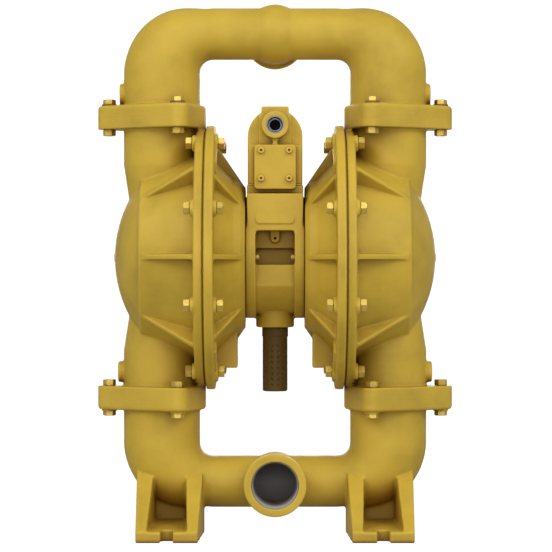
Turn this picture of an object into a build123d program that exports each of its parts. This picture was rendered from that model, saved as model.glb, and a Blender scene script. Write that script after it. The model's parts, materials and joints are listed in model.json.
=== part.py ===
from build123d import *
import math
import os

os.makedirs("parts", exist_ok=True)

# All lengths are millimetres. The pump is modelled about its own axis: X runs along the shaft,
# Y from the front to the back and Z up, and save() lifts every piece so that the floor is Z = 0.
# The right half is modelled and the left half is its mirror image.

# Stance
axis_height = 357.0
leg_x = 147.0
joint_lift = 15.5
pipe_rise = 109.0

# Clearances
running_gap = 0.05
thread_gap = 0.05
body_gap = 0.3
bolt_hole_gap = 0.5

# Manifold castings
leg_radius = 49.4
pipe_radius = 33.4
casting_wall = 6.5
bend_inner_radius = 17.0
bend_outer_run = 80.6
bend_outer_rise = 87.5
bend_step = 15
tee_radius = 38.4
tee_neck_radius = 36.0
port_ring_radius = 40.2
port_ring_length = 14.0
port_bore_radius = 29.9
port_reach = 73.0
port_thread_length = 32.0
side_boss_radius = 13.6
side_boss_reach = 54.6
discharge_boss_rise = 30.5
chamber_boss_drop = 148.0

# Flanges
flange_thickness = 15.4
flange_ring_radius = 57.2
flange_corner_radius = 14.6
flange_bolt_circle = 68.3
flange_bolt_angles = (0.0, 109.6, -109.6)
flange_edge_round = 4.2

# Feet of the inlet manifold
foot_x = 135.3
foot_half_width_middle = 43.5
foot_half_width_end = 38.9
foot_reach = 137.0
foot_base_end = 13.7
foot_base_middle = 18.1
foot_pocket_half_end = 25.4
foot_pocket_half_middle = 19.6
foot_web_half = 7.0
foot_shoulder_y = 25.0
foot_shoulder_lap = 19.8
slot_half_width = 7.6
slot_depth = 25.0

# Outer (liquid) chambers
joint_x = 89.2
joint_gap = 1.0
outer_disc_thickness = 12.3
outer_disc_radius = 166.0
outer_disc_round = 2.6
cone_step = 3.0
cone_end_radius = 106.0
cone_end_x = 172.0
dome_edge_x = 175.0
dome_edge_radius = 98.0
dome_apex_x = 207.8
apex_nub_radius = 5.6
apex_nub_height = 1.0
chamber_wall = 7.0
neck_full_rise = 120.0
neck_root_rise = 72.0
neck_root_radius = 42.0
rib_half_thickness = 3.5
rib_outer_start = 158.0
rib_outer_end_x = 169.0

# Inner (air) chambers
inner_disc_thickness = 11.7
inner_disc_lip = 5.0
inner_disc_round = 2.4
dish_step = 6.0
dish_waist_radius = 101.0
dish_waist_x = 53.0
hub_radius = 97.0
hub_round = 6.0
hub_face_x = 38.2
inner_rib_start = 148.0
inner_rib_shoulder_x = 72.0
inner_rib_shoulder = 140.0
inner_rib_end = 92.0
lug_inner_x = 48.6
lug_half_width = 25.0
lug_drop = 142.5
pad_thickness = 3.2
pad_lip = 3.5
pad_width = 21.0
pad_half_angle = 42.0
shaft_hole_radius = 15.5

# Diaphragm clamp
clamp_edge = 8.5
clamp_bolt_count = 8
clamp_boss_radius = 10.5
clamp_boss_height = 4.3
bead_inset = 9.5
clamp_land = 18.0
diaphragm_thickness = 4.0
diaphragm_loop_gap = 5.0
diaphragm_loop_rise = 9.8

# Shaft and plates
shaft_radius = 14.0
stud_radius = 8.0
plate_radius = 75.0
inner_plate_thickness = 12.0
outer_plate_thickness = 15.5
plate_rim = 5.0
plate_nut_flats = 24.0
plate_nut_height = 10.0
stud_tail = 2.0
bushing_radius = 18.0
bushing_length = 25.0
shaft_seal_length = 4.0

# Pilot valve
pilot_y = 22.0
pilot_rise = 36.0
pilot_pin_radius = 4.0
pilot_sleeve_radius = 8.0
pilot_pin_reach = 57.2

# Center block
block_disc_radius = 78.5
block_disc_inner_x = 24.4
barrel_radius = 73.0
window_half_width = 25.0
window_low = -9.4
window_high = 34.0
window_round = 4.9
window_upper_back = 40.0
window_lower_back = 28.0
window_step = 11.5
pedestal_half_width = 36.0
pedestal_half_depth = 52.0
pedestal_top = 92.5
ledge_rise = 82.4
ledge_fall = 1.0
ledge_depth = 62.0
collar_radius = 24.7
collar_drop = 90.4
collar_round = 2.4
center_bolt_circle = 62.0
center_bolt_radius = 4.0
center_bolt_reach = 20.5
center_bolt_head_height = 5.5
center_bolt_flats = 13.0

# Air valve
gasket_thickness = 1.5
valve_half_width = 35.0
valve_crown_rise = 155.0
spool_rise = 118.7
sleeve_radius = 16.0
spool_radius = 11.0
spool_half_length = 43.0
cap_width = 53.6
cap_height = 57.0
cap_corner = 4.5
cap_thickness = 10.0
cap_screw_spacing = 35.8
cap_screw_head_radius = 3.9
cap_screw_head_height = 4.6
cap_screw_radius = 2.4
air_port_rise = 169.0
air_boss_radius = 17.3
air_boss_front = 66.0
air_bore_radius = 10.7
air_bore_depth = 22.0
air_block_half_width = 21.0
air_block_top = 166.0
top_block_half_width = 17.5
body_screw_x = 26.0
body_screw_y = 36.0
body_screw_radius = 3.0
body_screw_head_radius = 5.0
body_screw_seat = 143.0

# Muffler
muffler_radius = 16.1
muffler_band_radius = 16.9
muffler_band_height = 12.0
muffler_length = 83.0
muffler_wall = 4.0
muffler_stub_radius = 13.0
muffler_stub_length = 16.0

# Ball valves
ball_radius = 30.0
ball_lift = 12.0
seat_radius = 43.6
seat_half_height = 6.0
seat_bore_radius = 24.0
seat_edge_radius = 26.0
ring_thickness = 3.5
stop_half_thickness = 3.0
stop_height = 8.0

# Hexagon fasteners of the flanges and the clamp
bolt_radius = 4.76
bolt_flats = 14.6
bolt_head_height = 7.9
flange_head_height = 6.2
nut_height = 8.2
bolt_tail = 0.3
washer_radius = 9.8
washer_thickness = 2.0

# Small features
chamber_boss_reach = 56.7
center_bolt_count = 4
pedestal_foot_depth = 70.0
lug_rise = 24.6
window_lug_radius = 6.0
window_lug_hole = 1.8
window_lug_length = 8.0
barrel_flat = 63.1
wedge_high = 56.4
wedge_low = 43.0
wedge_proud = 2.2
wedge_half_width = 24.4
wedge_round = 4.0
body_screw_depth = 16.0
gallery_pitch = 16.0
gallery_width = 9.0
gallery_length = 40.0
gallery_depth = 14.0
valve_crown_round = 3.0
air_block_depth = 60.0
top_block_depth = 46.0
top_block_rise = 193.2
shoulder_setback = 3.0
air_web_front = 60.0
cap_rise = 115.4
air_bore_chamfer = 0.8
cap_edge_round = 1.6
cap_screw_depth = 12.0
seal_groove_width = 2.5
seal_groove_depth = 2.5
sleeve_port_pitch = 18.0
sleeve_port_width = 8.0
sleeve_groove_depth = 2.0
spool_stem_radius = 6.5
spool_land_length = 16.0
insert_length = 21.4
insert_floor = 3.0
insert_bore_radius = 8.9
insert_hole_radius = 6.6
muffler_end_round = 5.0
muffler_slot_rows = 8
muffler_slot_start = 23.4
muffler_slot_pitch = 7.2
muffler_slot_width = 2.4
muffler_slot_count = 8

# Places worked out from the sizes above
joint_rise = outer_disc_radius + joint_lift
clamp_bolt_circle = outer_disc_radius - clamp_edge
inner_disc_radius = outer_disc_radius + inner_disc_lip
bead_radius = clamp_bolt_circle - bead_inset
cavity_radius = bead_radius - clamp_land
cone_base_radius = cavity_radius + cone_step
dish_rim_radius = cavity_radius - dish_step
pad_outer_radius = clamp_bolt_circle + pad_lip
diaphragm_loop_inner = plate_radius + diaphragm_loop_gap
outer_face_x = joint_x + joint_gap / 2
inner_face_x = joint_x - joint_gap / 2
outer_disc_x = outer_face_x + outer_disc_thickness
inner_disc_x = inner_face_x - inner_disc_thickness
leg_bore_radius = leg_radius - casting_wall
pipe_bore_radius = pipe_radius - casting_wall
ball_rise = seat_half_height + math.sqrt(ball_radius ** 2 - seat_edge_radius ** 2) + body_gap
ball_top = ball_rise + ball_radius + ball_lift
bend_x = leg_x - leg_radius - bend_inner_radius
bend_z = pipe_rise - pipe_radius - bend_inner_radius
outer_bend_x = leg_x + leg_radius - bend_outer_run
outer_bend_z = pipe_rise + pipe_radius - bend_outer_rise
valve_base = pedestal_top + gasket_thickness
inner_plate_x = joint_x - diaphragm_thickness / 2 - body_gap
outer_plate_x = joint_x + diaphragm_thickness / 2 + body_gap
inner_plate_back = inner_plate_x - inner_plate_thickness
stud_end = outer_plate_x + outer_plate_thickness + plate_nut_height + stud_tail
cap_top = cap_rise + cap_height / 2
sides = (-1, 1)


def save(name, part):
    """Stand a finished piece on the floor, name it and write it."""
    placed = part.moved(Location((0, 0, axis_height)))
    placed.label = name
    export_step(placed, f"parts/{name}.step")


def save_pair(name, part):
    """Write a right-hand piece and its mirror image."""
    save(f"right_{name}", part)
    save(f"left_{name}", part.mirror(Plane.YZ))


def both_sides(part):
    """Join a right-hand solid and its mirror image in one group."""
    with BuildPart() as pair:
        add(part)
        add(part.mirror(Plane.YZ))
    return pair.part


def across(x, y, z, toward=1):
    """A plane square to the shaft, facing outboard, with its own x along +Y."""
    return Plane(origin=(x, y, z), x_dir=(0, 1, 0), z_dir=(toward, 0, 0))


def facing(y, z, toward=1, x=0.0):
    """A plane square to the front-to-back direction."""
    return Plane(origin=(x, y, z), x_dir=(1, 0, 0), z_dir=(0, toward, 0))


def hexagon(flats):
    """A hexagon of the given width across its flats."""
    RegularPolygon(flats / 2, 6, major_radius=False)


# Manifold castings, in a frame whose Z = 0 is the flange joint
def bend_reach(angle):
    """Distance from the inner bend's centre to the outer wall, along a ray at this angle."""
    run = math.cos(math.radians(angle))
    rise = math.sin(math.radians(angle))
    crown = pipe_rise + pipe_radius - bend_z
    if rise > 0 and bend_x + run / rise * crown <= outer_bend_x:
        return crown / rise
    from_x = (bend_x - outer_bend_x) / bend_outer_run
    from_z = (bend_z - outer_bend_z) / bend_outer_rise
    unit_x = run / bend_outer_run
    unit_z = rise / bend_outer_rise
    square = unit_x ** 2 + unit_z ** 2
    middle = from_x * unit_x + from_z * unit_z
    rest = from_x ** 2 + from_z ** 2 - 1
    return (-middle + math.sqrt(middle ** 2 - square * rest)) / square


def bend_plane(angle):
    """The plane of one round section of the bend."""
    half = (bend_inner_radius + bend_reach(angle)) / 2
    run = math.cos(math.radians(angle))
    rise = math.sin(math.radians(angle))
    return Plane(origin=(bend_x + half * run, 0, bend_z + half * rise),
                 x_dir=(run, 0, rise), z_dir=(-rise, 0, run))


def pipe_run(inset):
    """Two legs, two bends and the cross pipe, drawn in by inset."""
    with BuildPart() as half:
        for angle in range(0, 91, bend_step):
            with BuildSketch(bend_plane(angle)):
                Circle((bend_reach(angle) - bend_inner_radius) / 2 - inset)
        loft()
        leg_end = half.faces().sort_by(Axis.Z)[0]
        pipe_end = half.faces().sort_by(Axis.X)[0]
        extrude(leg_end, amount=bend_z)
        extrude(pipe_end, amount=bend_x)
    return both_sides(half.part)


def flange_plate(edge_round):
    """One rounded three-cornered flange, standing up from Z = 0."""
    with BuildPart() as plate:
        with BuildSketch():
            with Locations((leg_x, 0)):
                Circle(flange_ring_radius)
                for angle in flange_bolt_angles:
                    with PolarLocations(flange_bolt_circle, 1, start_angle=angle):
                        Circle(flange_corner_radius)
            make_hull()
        extrude(amount=flange_thickness)
        if edge_round > 0:
            fillet(plate.faces().sort_by(Axis.Z)[-1].edges(), edge_round)
    return plate.part


def flange_points():
    """The three bolts of the right-hand flange."""
    points = []
    for angle in flange_bolt_angles:
        turn = math.radians(angle)
        points.append((leg_x + flange_bolt_circle * math.cos(turn), flange_bolt_circle * math.sin(turn)))
    return points


def manifold_outside():
    """The casting's outer form, with its port towards +Y."""
    plate = both_sides(flange_plate(flange_edge_round))
    run = pipe_run(0)
    with BuildPart() as outside:
        add(run)
        add(plate)
        with Locations((0, 0, pipe_rise)):
            Sphere(tee_radius)
        with BuildSketch(facing(0, pipe_rise)):
            Circle(tee_neck_radius)
        extrude(amount=port_reach - port_ring_length / 2)
        with BuildSketch(facing(port_reach - port_ring_length, pipe_rise)):
            Circle(port_ring_radius)
        extrude(amount=port_ring_length)
    return outside.part


def manifold_hollow():
    """Everything that is bored or cored out of a manifold."""
    run = pipe_run(casting_wall)
    with BuildPart() as hollow:
        add(run)
        with BuildSketch(facing(0, pipe_rise)):
            Circle(pipe_bore_radius)
        extrude(amount=port_reach)
        with BuildSketch(facing(port_reach - port_thread_length, pipe_rise)):
            Circle(port_bore_radius)
        extrude(amount=port_thread_length)
        for side in sides:
            with BuildSketch(Plane.XY):
                with Locations((side * leg_x, 0)):
                    Circle(seat_radius + body_gap)
            extrude(amount=seat_half_height)
            with BuildSketch(Plane.XY):
                with Locations(*[(side * x, y) for x, y in flange_points()]):
                    Circle(bolt_radius + bolt_hole_gap)
            extrude(amount=flange_thickness)
    return hollow.part


def manifold_casting(extra):
    """One whole manifold with what extra adds to its outside."""
    outside = manifold_outside()
    hollow = manifold_hollow()
    with BuildPart() as casting:
        add(outside)
        for piece in extra:
            add(piece)
        add(hollow, mode=Mode.SUBTRACT)
    return casting.part


def ball_stops():
    """Bars across the legs that stop the discharge balls."""
    with BuildPart() as bar:
        with BuildSketch(Plane.XY.offset(ball_top + body_gap)):
            with Locations((leg_x, 0)):
                Rectangle(2 * leg_radius - casting_wall, 2 * stop_half_thickness)
        extrude(amount=stop_height)
    return both_sides(bar.part)


def discharge_bosses():
    """Round cast pads on the outboard sides of the legs."""
    wall_x = leg_x + leg_bore_radius + 1.0
    with BuildPart() as boss:
        with BuildSketch(across(wall_x, 0, discharge_boss_rise)):
            Circle(side_boss_radius)
        extrude(amount=leg_x + side_boss_reach - wall_x)
    return both_sides(boss.part)


# The discharge manifold stands on the upper joint. Its port faces the back.
discharge_casting = manifold_casting([discharge_bosses()])
stops = ball_stops()
with BuildPart() as discharge_manifold:
    add(discharge_casting)
    add(stops)
discharge_part = discharge_manifold.part.moved(Location((0, 0, joint_rise)))
save("discharge_manifold", discharge_part)


# Feet, drawn in the manifold's frame turned over, so the floor is above the joint
def foot():
    """One foot: base, two sloping side walls and a middle web, with a slot at each end."""
    floor = axis_height - joint_rise
    shoulder = pipe_rise - foot_shoulder_lap
    height = floor - shoulder
    with BuildPart() as block:
        with BuildSketch(Plane.XY.offset(floor)):
            with BuildLine():
                Polyline((foot_x - foot_half_width_end, -foot_reach),
                         (foot_x + foot_half_width_end, -foot_reach),
                         (foot_x + foot_half_width_middle, 0), (foot_x + foot_half_width_end, foot_reach),
                         (foot_x - foot_half_width_end, foot_reach), (foot_x - foot_half_width_middle, 0),
                         close=True)
            make_face()
        extrude(amount=-height)
        with BuildSketch(Plane.YZ):
            with BuildLine():
                Polyline((-foot_reach, floor), (-foot_reach, floor - foot_base_end),
                         (-foot_shoulder_y, shoulder), (foot_shoulder_y, shoulder),
                         (foot_reach, floor - foot_base_end), (foot_reach, floor), close=True)
            make_face()
        extrude(amount=leg_x + leg_radius, mode=Mode.INTERSECT)
        for end in sides:
            with BuildSketch(facing(end * foot_web_half, floor - foot_base_middle, end, foot_x)):
                with Locations((0, height * end / 2)):
                    Rectangle(2 * foot_pocket_half_middle, height)
            with BuildSketch(facing(end * foot_reach, floor - foot_base_end, end, foot_x)):
                with Locations((0, height * end / 2)):
                    Rectangle(2 * foot_pocket_half_end, height)
            loft(mode=Mode.SUBTRACT)
            with BuildSketch(Plane.XY.offset(floor)):
                with Locations((foot_x, end * (foot_reach - slot_depth + slot_half_width))):
                    Circle(slot_half_width)
                with Locations((foot_x, end * foot_reach)):
                    Rectangle(2 * slot_half_width, 2 * (slot_depth - slot_half_width))
            extrude(amount=-foot_base_middle - 1, mode=Mode.SUBTRACT)
    return both_sides(block.part)


# The inlet manifold hangs under the lower joint. Its port faces the front.
inlet_casting = manifold_casting([foot()])
inlet_part = inlet_casting.rotate(Axis.X, 180).moved(Location((0, 0, -joint_rise)))
save("inlet_manifold", inlet_part)


# Chambers, whose shells are turned about the pump axis
def turned(points, apex=None):
    """A solid turned about the pump axis from (x, radius) points, with a round dome up to apex."""
    with BuildPart() as solid:
        with BuildSketch(Plane.XZ):
            with BuildLine():
                if apex is None:
                    Polyline((points[0][0], 0), *points, (points[-1][0], 0), close=True)
                else:
                    sag = apex - points[-1][0]
                    ball = (points[-1][1] ** 2 + sag ** 2) / (2 * sag)
                    half_turn = math.asin(points[-1][1] / ball) / 2
                    middle = (apex - ball + ball * math.cos(half_turn), ball * math.sin(half_turn))
                    Polyline((apex, 0), (points[0][0], 0), *points)
                    ThreePointArc(points[-1], middle, (apex, apex_nub_radius))
                    Line((apex, apex_nub_radius), (apex, 0))
            make_face()
        revolve(axis=Axis.X)
    return solid.part


def ribs(outline, turns):
    """Equal ribs about the pump axis, each cut from one (x, radius) outline and turned from the top."""
    with BuildPart() as group:
        with BuildSketch(Plane.XZ):
            with BuildLine():
                Polyline(*outline, close=True)
            make_face()
        extrude(amount=rib_half_thickness, both=True)
    return [group.part.rotate(Axis.X, turn) for turn in turns]


def clamp_places():
    """Turn of each clamp bolt about the pump axis, in degrees from the front."""
    step = 360 / clamp_bolt_count
    return [step * (number + 0.5) for number in range(clamp_bolt_count)]


def clamp_point(turn, radius):
    """A point at this turn and radius in the plane square to the shaft."""
    return (radius * math.cos(math.radians(turn)), radius * math.sin(math.radians(turn)))


def neck_profile(inset):
    """Radius of a neck against height, from its root to the flange joint."""
    return [(leg_x + neck_root_radius - inset, neck_root_rise), (leg_x + leg_radius - inset, neck_full_rise),
            (leg_x + leg_radius - inset, joint_rise)]


def neck(inset, root):
    """One upright neck, from height root to the flange joint."""
    profile = neck_profile(inset)
    with BuildPart() as solid:
        with BuildSketch(Plane.XZ):
            with BuildLine():
                Polyline((leg_x, root), (profile[0][0], root), *profile, (leg_x, joint_rise), close=True)
            make_face()
        revolve(axis=Axis((leg_x, 0, 0), (0, 0, 1)))
    return solid.part


def clamp_holes(low_x, high_x):
    """The holes of the clamp bolts between two planes."""
    with BuildPart() as holes:
        with BuildSketch(across(low_x, 0, 0)):
            with Locations(*[clamp_point(turn, clamp_bolt_circle) for turn in clamp_places()]):
                Circle(bolt_radius + bolt_hole_gap)
        extrude(amount=high_x - low_x)
    return holes.part


def clamp_groove(low_x, high_x):
    """The ring that takes half of the diaphragm's edge."""
    with BuildPart() as groove:
        with BuildSketch(across(low_x, 0, 0)):
            Circle(bead_radius)
        extrude(amount=high_x - low_x)
    return groove.part


def flange_holes():
    """The holes of one chamber flange and the recess of its ball seat."""
    with BuildPart() as holes:
        with BuildSketch(Plane.XY.offset(joint_rise)):
            with Locations(*flange_points()):
                Circle(bolt_radius + bolt_hole_gap)
        extrude(amount=-flange_thickness)
        with BuildSketch(Plane.XY.offset(joint_rise)):
            with Locations((leg_x, 0)):
                Circle(seat_radius + body_gap)
        extrude(amount=-seat_half_height)
    return holes.part


def outer_chamber():
    """The liquid chamber with its two necks, flanges, ribs and clamp disc."""
    shell = turned([(outer_face_x, cone_base_radius), (outer_disc_x, cone_base_radius),
                    (cone_end_x, cone_end_radius), (dome_edge_x, dome_edge_radius)], dome_apex_x)
    slope = (cone_base_radius - cone_end_radius) / (cone_end_x - outer_disc_x)
    cavity = turned([(outer_face_x, cavity_radius), (outer_disc_x, cone_base_radius - chamber_wall),
                     (cone_end_x - chamber_wall, cone_end_radius - chamber_wall + slope * chamber_wall),
                     (dome_edge_x - chamber_wall, dome_edge_radius - chamber_wall / 2)],
                    dome_apex_x - chamber_wall)
    outer_neck = neck(0, neck_root_rise / 2)
    neck_hollow = neck(casting_wall, neck_root_rise / 2)
    blades = ribs([(outer_disc_x - 1, rib_outer_start), (outer_disc_x + 3, rib_outer_start),
                   (rib_outer_end_x, cone_end_radius + 2), (rib_outer_end_x, cone_end_radius - 2),
                   (outer_disc_x - 1, cone_base_radius - 4)], (45, 90, 135, 225, 270, 315))
    plate = flange_plate(0).moved(Location((0, 0, joint_rise - flange_thickness)))
    flange_cut = flange_holes()
    clamp_cut = clamp_holes(outer_face_x, outer_disc_x + clamp_boss_height)
    groove = clamp_groove(outer_face_x, joint_x + diaphragm_thickness / 2)
    wall_x = leg_x + leg_bore_radius + 1.0
    with BuildPart() as disc:
        with BuildSketch(across(outer_face_x, 0, 0)):
            Circle(outer_disc_radius)
        extrude(amount=outer_disc_thickness)
        fillet(disc.faces().sort_by(Axis.X)[-1].edges(), outer_disc_round)
        with BuildSketch(across(outer_disc_x, 0, 0)):
            with Locations(*[clamp_point(turn, clamp_bolt_circle) for turn in clamp_places()]):
                Circle(clamp_boss_radius)
        extrude(amount=clamp_boss_height)
    with BuildPart() as chamber:
        add(shell)
        add(disc.part)
        for up in (0, 180):
            add(outer_neck.rotate(Axis.X, up))
            add(plate.rotate(Axis.X, up))
        for blade in blades:
            add(blade)
        with BuildSketch(across(wall_x, 0, -chamber_boss_drop)):
            Circle(side_boss_radius)
        extrude(amount=leg_x + chamber_boss_reach - wall_x)
        with BuildSketch(across(dome_apex_x, 0, 0)):
            Circle(apex_nub_radius)
        extrude(amount=apex_nub_height)
        add(cavity, mode=Mode.SUBTRACT)
        for up in (0, 180):
            add(neck_hollow.rotate(Axis.X, up), mode=Mode.SUBTRACT)
            add(flange_cut.rotate(Axis.X, up), mode=Mode.SUBTRACT)
        add(clamp_cut, mode=Mode.SUBTRACT)
        add(groove, mode=Mode.SUBTRACT)
        with BuildSketch(Plane.XY.offset(ball_top + body_gap - joint_rise)):
            with Locations((leg_x, 0)):
                Rectangle(2 * stop_half_thickness, 2 * neck_root_radius)
        extrude(amount=stop_height)
    return chamber.part


outer_casting = outer_chamber()
save_pair("outer_chamber", outer_casting)


def inner_chamber():
    """The air chamber: clamp disc, ribbed dish and a hub that seats on the center block."""
    shell = turned([(inner_face_x, dish_rim_radius), (inner_disc_x, dish_rim_radius),
                    (dish_waist_x, dish_waist_radius), (hub_face_x + hub_round, hub_radius),
                    (hub_face_x, hub_radius - hub_round)])
    cavity = turned([(inner_face_x, cavity_radius), (inner_disc_x, dish_rim_radius - chamber_wall),
                     (dish_waist_x, dish_waist_radius - chamber_wall),
                     (hub_face_x + chamber_wall, hub_radius - hub_round - chamber_wall)])
    blades = ribs([(inner_disc_x + 1, inner_rib_start), (inner_disc_x, inner_rib_start),
                   (inner_rib_shoulder_x, inner_rib_shoulder), (hub_face_x + 1.3, inner_rib_end),
                   (hub_face_x + 1.3, inner_rib_end - 6), (inner_disc_x + 1, dish_rim_radius - 4)],
                  range(0, 360, 45))
    clamp_cut = clamp_holes(inner_disc_x - clamp_boss_height, inner_face_x)
    groove = clamp_groove(joint_x - diaphragm_thickness / 2, inner_face_x)
    pad_inner = pad_outer_radius - pad_width
    with BuildPart() as disc:
        with BuildSketch(across(inner_disc_x, 0, 0)):
            Circle(inner_disc_radius)
        extrude(amount=inner_disc_thickness)
        fillet(disc.faces().sort_by(Axis.X)[0].edges(), inner_disc_round)
        with BuildSketch(across(inner_disc_x, 0, 0, -1)):
            with Locations(*[clamp_point(turn, clamp_bolt_circle) for turn in clamp_places()]):
                Circle(clamp_boss_radius)
        extrude(amount=clamp_boss_height)
        for pole in (90, -90):
            with BuildSketch(across(inner_disc_x - pad_thickness, 0, 0)):
                with BuildLine():
                    CenterArc((0, 0), pad_outer_radius, pole - pad_half_angle, 2 * pad_half_angle)
                    CenterArc((0, 0), pad_inner, pole - pad_half_angle, 2 * pad_half_angle)
                    for end in sides:
                        Line(clamp_point(pole + end * pad_half_angle, pad_inner),
                             clamp_point(pole + end * pad_half_angle, pad_outer_radius))
                make_face()
            extrude(amount=pad_thickness)
    with BuildPart() as chamber:
        add(shell)
        add(disc.part)
        for blade in blades:
            add(blade)
        with BuildSketch(Plane.XY.offset(-lug_drop)):
            with Locations(((lug_inner_x + inner_disc_x) / 2, 0)):
                Rectangle(inner_disc_x - lug_inner_x, 2 * lug_half_width)
        extrude(amount=lug_drop - dish_waist_radius + chamber_wall)
        add(cavity, mode=Mode.SUBTRACT)
        add(clamp_cut, mode=Mode.SUBTRACT)
        add(groove, mode=Mode.SUBTRACT)
        with BuildSketch(across(hub_face_x, 0, 0)):
            Circle(shaft_hole_radius)
            with Locations((pilot_y, pilot_rise)):
                Circle(pilot_sleeve_radius)
            with PolarLocations(center_bolt_circle, center_bolt_count):
                Circle(center_bolt_radius + bolt_hole_gap)
        extrude(amount=chamber_wall, mode=Mode.SUBTRACT)
    return chamber.part


save_pair("inner_chamber", inner_chamber())


def front_window():
    """What the front window takes out of the center block, round at its upper corners."""
    with BuildPart() as window:
        with BuildSketch(facing(-window_upper_back, 0, -1)) as opening:
            with Locations((0, (window_high + window_low) / 2)):
                Rectangle(2 * window_half_width, window_high - window_low)
            fillet(opening.vertices().group_by(Axis.Z)[-1], window_round)
        extrude(amount=block_disc_radius)
    return window.part


def front_wedge():
    """The low wedge-shaped pad on the pedestal, above the window."""
    lean = (pedestal_foot_depth - ledge_depth) / (ledge_rise - ledge_fall - window_high)
    high_y = ledge_depth + (ledge_rise - ledge_fall - wedge_high) * lean
    low_y = ledge_depth + (ledge_rise - ledge_fall - wedge_low) * lean + wedge_proud
    with BuildPart() as wedge:
        with BuildSketch(Plane.YZ):
            with BuildLine():
                Polyline((-pedestal_half_depth, wedge_high), (-high_y, wedge_high),
                         (-low_y, wedge_low), (-pedestal_half_depth, wedge_low), close=True)
            make_face()
        extrude(amount=wedge_half_width, both=True)
        fillet(wedge.edges().filter_by(Axis.Y).group_by(Axis.Z)[0], wedge_round)
    return wedge.part


def center_block():
    """The middle casting: two discs, a barrel with a front window, a pedestal and a collar."""
    with BuildPart() as block:
        with BuildSketch(across(-hub_face_x, 0, 0)):
            Circle(block_disc_radius)
        extrude(amount=hub_face_x - block_disc_inner_x)
        with BuildSketch(across(block_disc_inner_x, 0, 0)):
            Circle(block_disc_radius)
        extrude(amount=hub_face_x - block_disc_inner_x)
        with BuildSketch(across(-block_disc_inner_x, 0, 0)):
            Circle(barrel_radius)
        extrude(amount=2 * block_disc_inner_x)
        with BuildSketch(Plane.YZ):
            with BuildLine():
                Polyline((-pedestal_half_depth, pedestal_top), (-pedestal_half_depth, ledge_rise),
                         (-ledge_depth, ledge_rise - ledge_fall), (-pedestal_foot_depth, window_high),
                         (0, 0), (pedestal_foot_depth, window_high), (ledge_depth, ledge_rise - ledge_fall),
                         (pedestal_half_depth, ledge_rise), (pedestal_half_depth, pedestal_top), close=True)
            make_face()
        extrude(amount=pedestal_half_width, both=True)
        with BuildSketch(Plane.XY.offset(-collar_drop)):
            Circle(collar_radius)
        extrude(amount=collar_drop - barrel_radius / 2)
        fillet(block.faces().sort_by(Axis.Z)[0].edges(), collar_round)
        add(front_wedge())
        with BuildSketch(facing(-barrel_flat, window_low - barrel_radius, -1)):
            Rectangle(2 * block_disc_inner_x, 2 * barrel_radius)
        extrude(amount=barrel_radius - barrel_flat, mode=Mode.SUBTRACT)
        add(front_window(), mode=Mode.SUBTRACT)
        lower_middle = (window_step + window_low) / 2
        with BuildSketch(facing(-window_lower_back, lower_middle, -1)):
            Rectangle(2 * window_half_width, window_step - window_low)
        extrude(amount=block_disc_radius, mode=Mode.SUBTRACT)
        with BuildSketch(facing(-window_upper_back, lug_rise, -1)):
            Circle(window_lug_radius)
            with Locations((0, (window_high - lug_rise) / 2)):
                Rectangle(2 * window_lug_radius, window_high - lug_rise)
        extrude(amount=window_lug_length)
        with BuildSketch(facing(-window_upper_back, lug_rise, -1)):
            Circle(window_lug_hole)
        extrude(amount=window_lug_length, mode=Mode.SUBTRACT)
        with BuildSketch(across(-hub_face_x, 0, 0)):
            Circle(shaft_radius + bolt_hole_gap)
        extrude(amount=2 * hub_face_x, mode=Mode.SUBTRACT)
        for side in sides:
            with BuildSketch(across(side * hub_face_x, 0, 0, side)):
                Circle(bushing_radius)
            extrude(amount=-bushing_length - shaft_seal_length, mode=Mode.SUBTRACT)
            with BuildSketch(across(side * hub_face_x, 0, 0, side)):
                with PolarLocations(center_bolt_circle, center_bolt_count):
                    Circle(center_bolt_radius + thread_gap)
            extrude(amount=center_bolt_reach - hub_face_x, mode=Mode.SUBTRACT)
        with BuildSketch(across(-hub_face_x, pilot_y, pilot_rise)):
            Circle(pilot_sleeve_radius)
        extrude(amount=2 * hub_face_x, mode=Mode.SUBTRACT)
        with BuildSketch(Plane.XY.offset(-collar_drop)):
            Circle(muffler_stub_radius + thread_gap)
        extrude(amount=muffler_stub_length, mode=Mode.SUBTRACT)
        with BuildSketch(Plane.XY.offset(pedestal_top)):
            for end_x in sides:
                for end_y in sides:
                    with Locations((end_x * body_screw_x, end_y * body_screw_y)):
                        Circle(body_screw_radius + thread_gap)
        extrude(amount=-body_screw_depth, mode=Mode.SUBTRACT)
        with BuildSketch(Plane.XY.offset(pedestal_top)):
            with Locations(*[(place * gallery_pitch, 0) for place in (-1, 0, 1)]):
                Rectangle(gallery_width, gallery_length)
        extrude(amount=-gallery_depth, mode=Mode.SUBTRACT)
    return block.part


save("center_block", center_block())


def gasket():
    """The flat seal under the air valve, open over the galleries."""
    with BuildPart() as sheet:
        with BuildSketch(Plane.XY.offset(pedestal_top)):
            Rectangle(2 * valve_half_width, 2 * pedestal_half_depth)
            with Locations(*[(place * gallery_pitch, 0) for place in (-1, 0, 1)]):
                Rectangle(gallery_width, gallery_length, mode=Mode.SUBTRACT)
            with GridLocations(2 * body_screw_x, 2 * body_screw_y, 2, 2):
                Circle(body_screw_radius + bolt_hole_gap, mode=Mode.SUBTRACT)
        extrude(amount=gasket_thickness)
    return sheet.part


save("valve_gasket", gasket())


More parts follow.
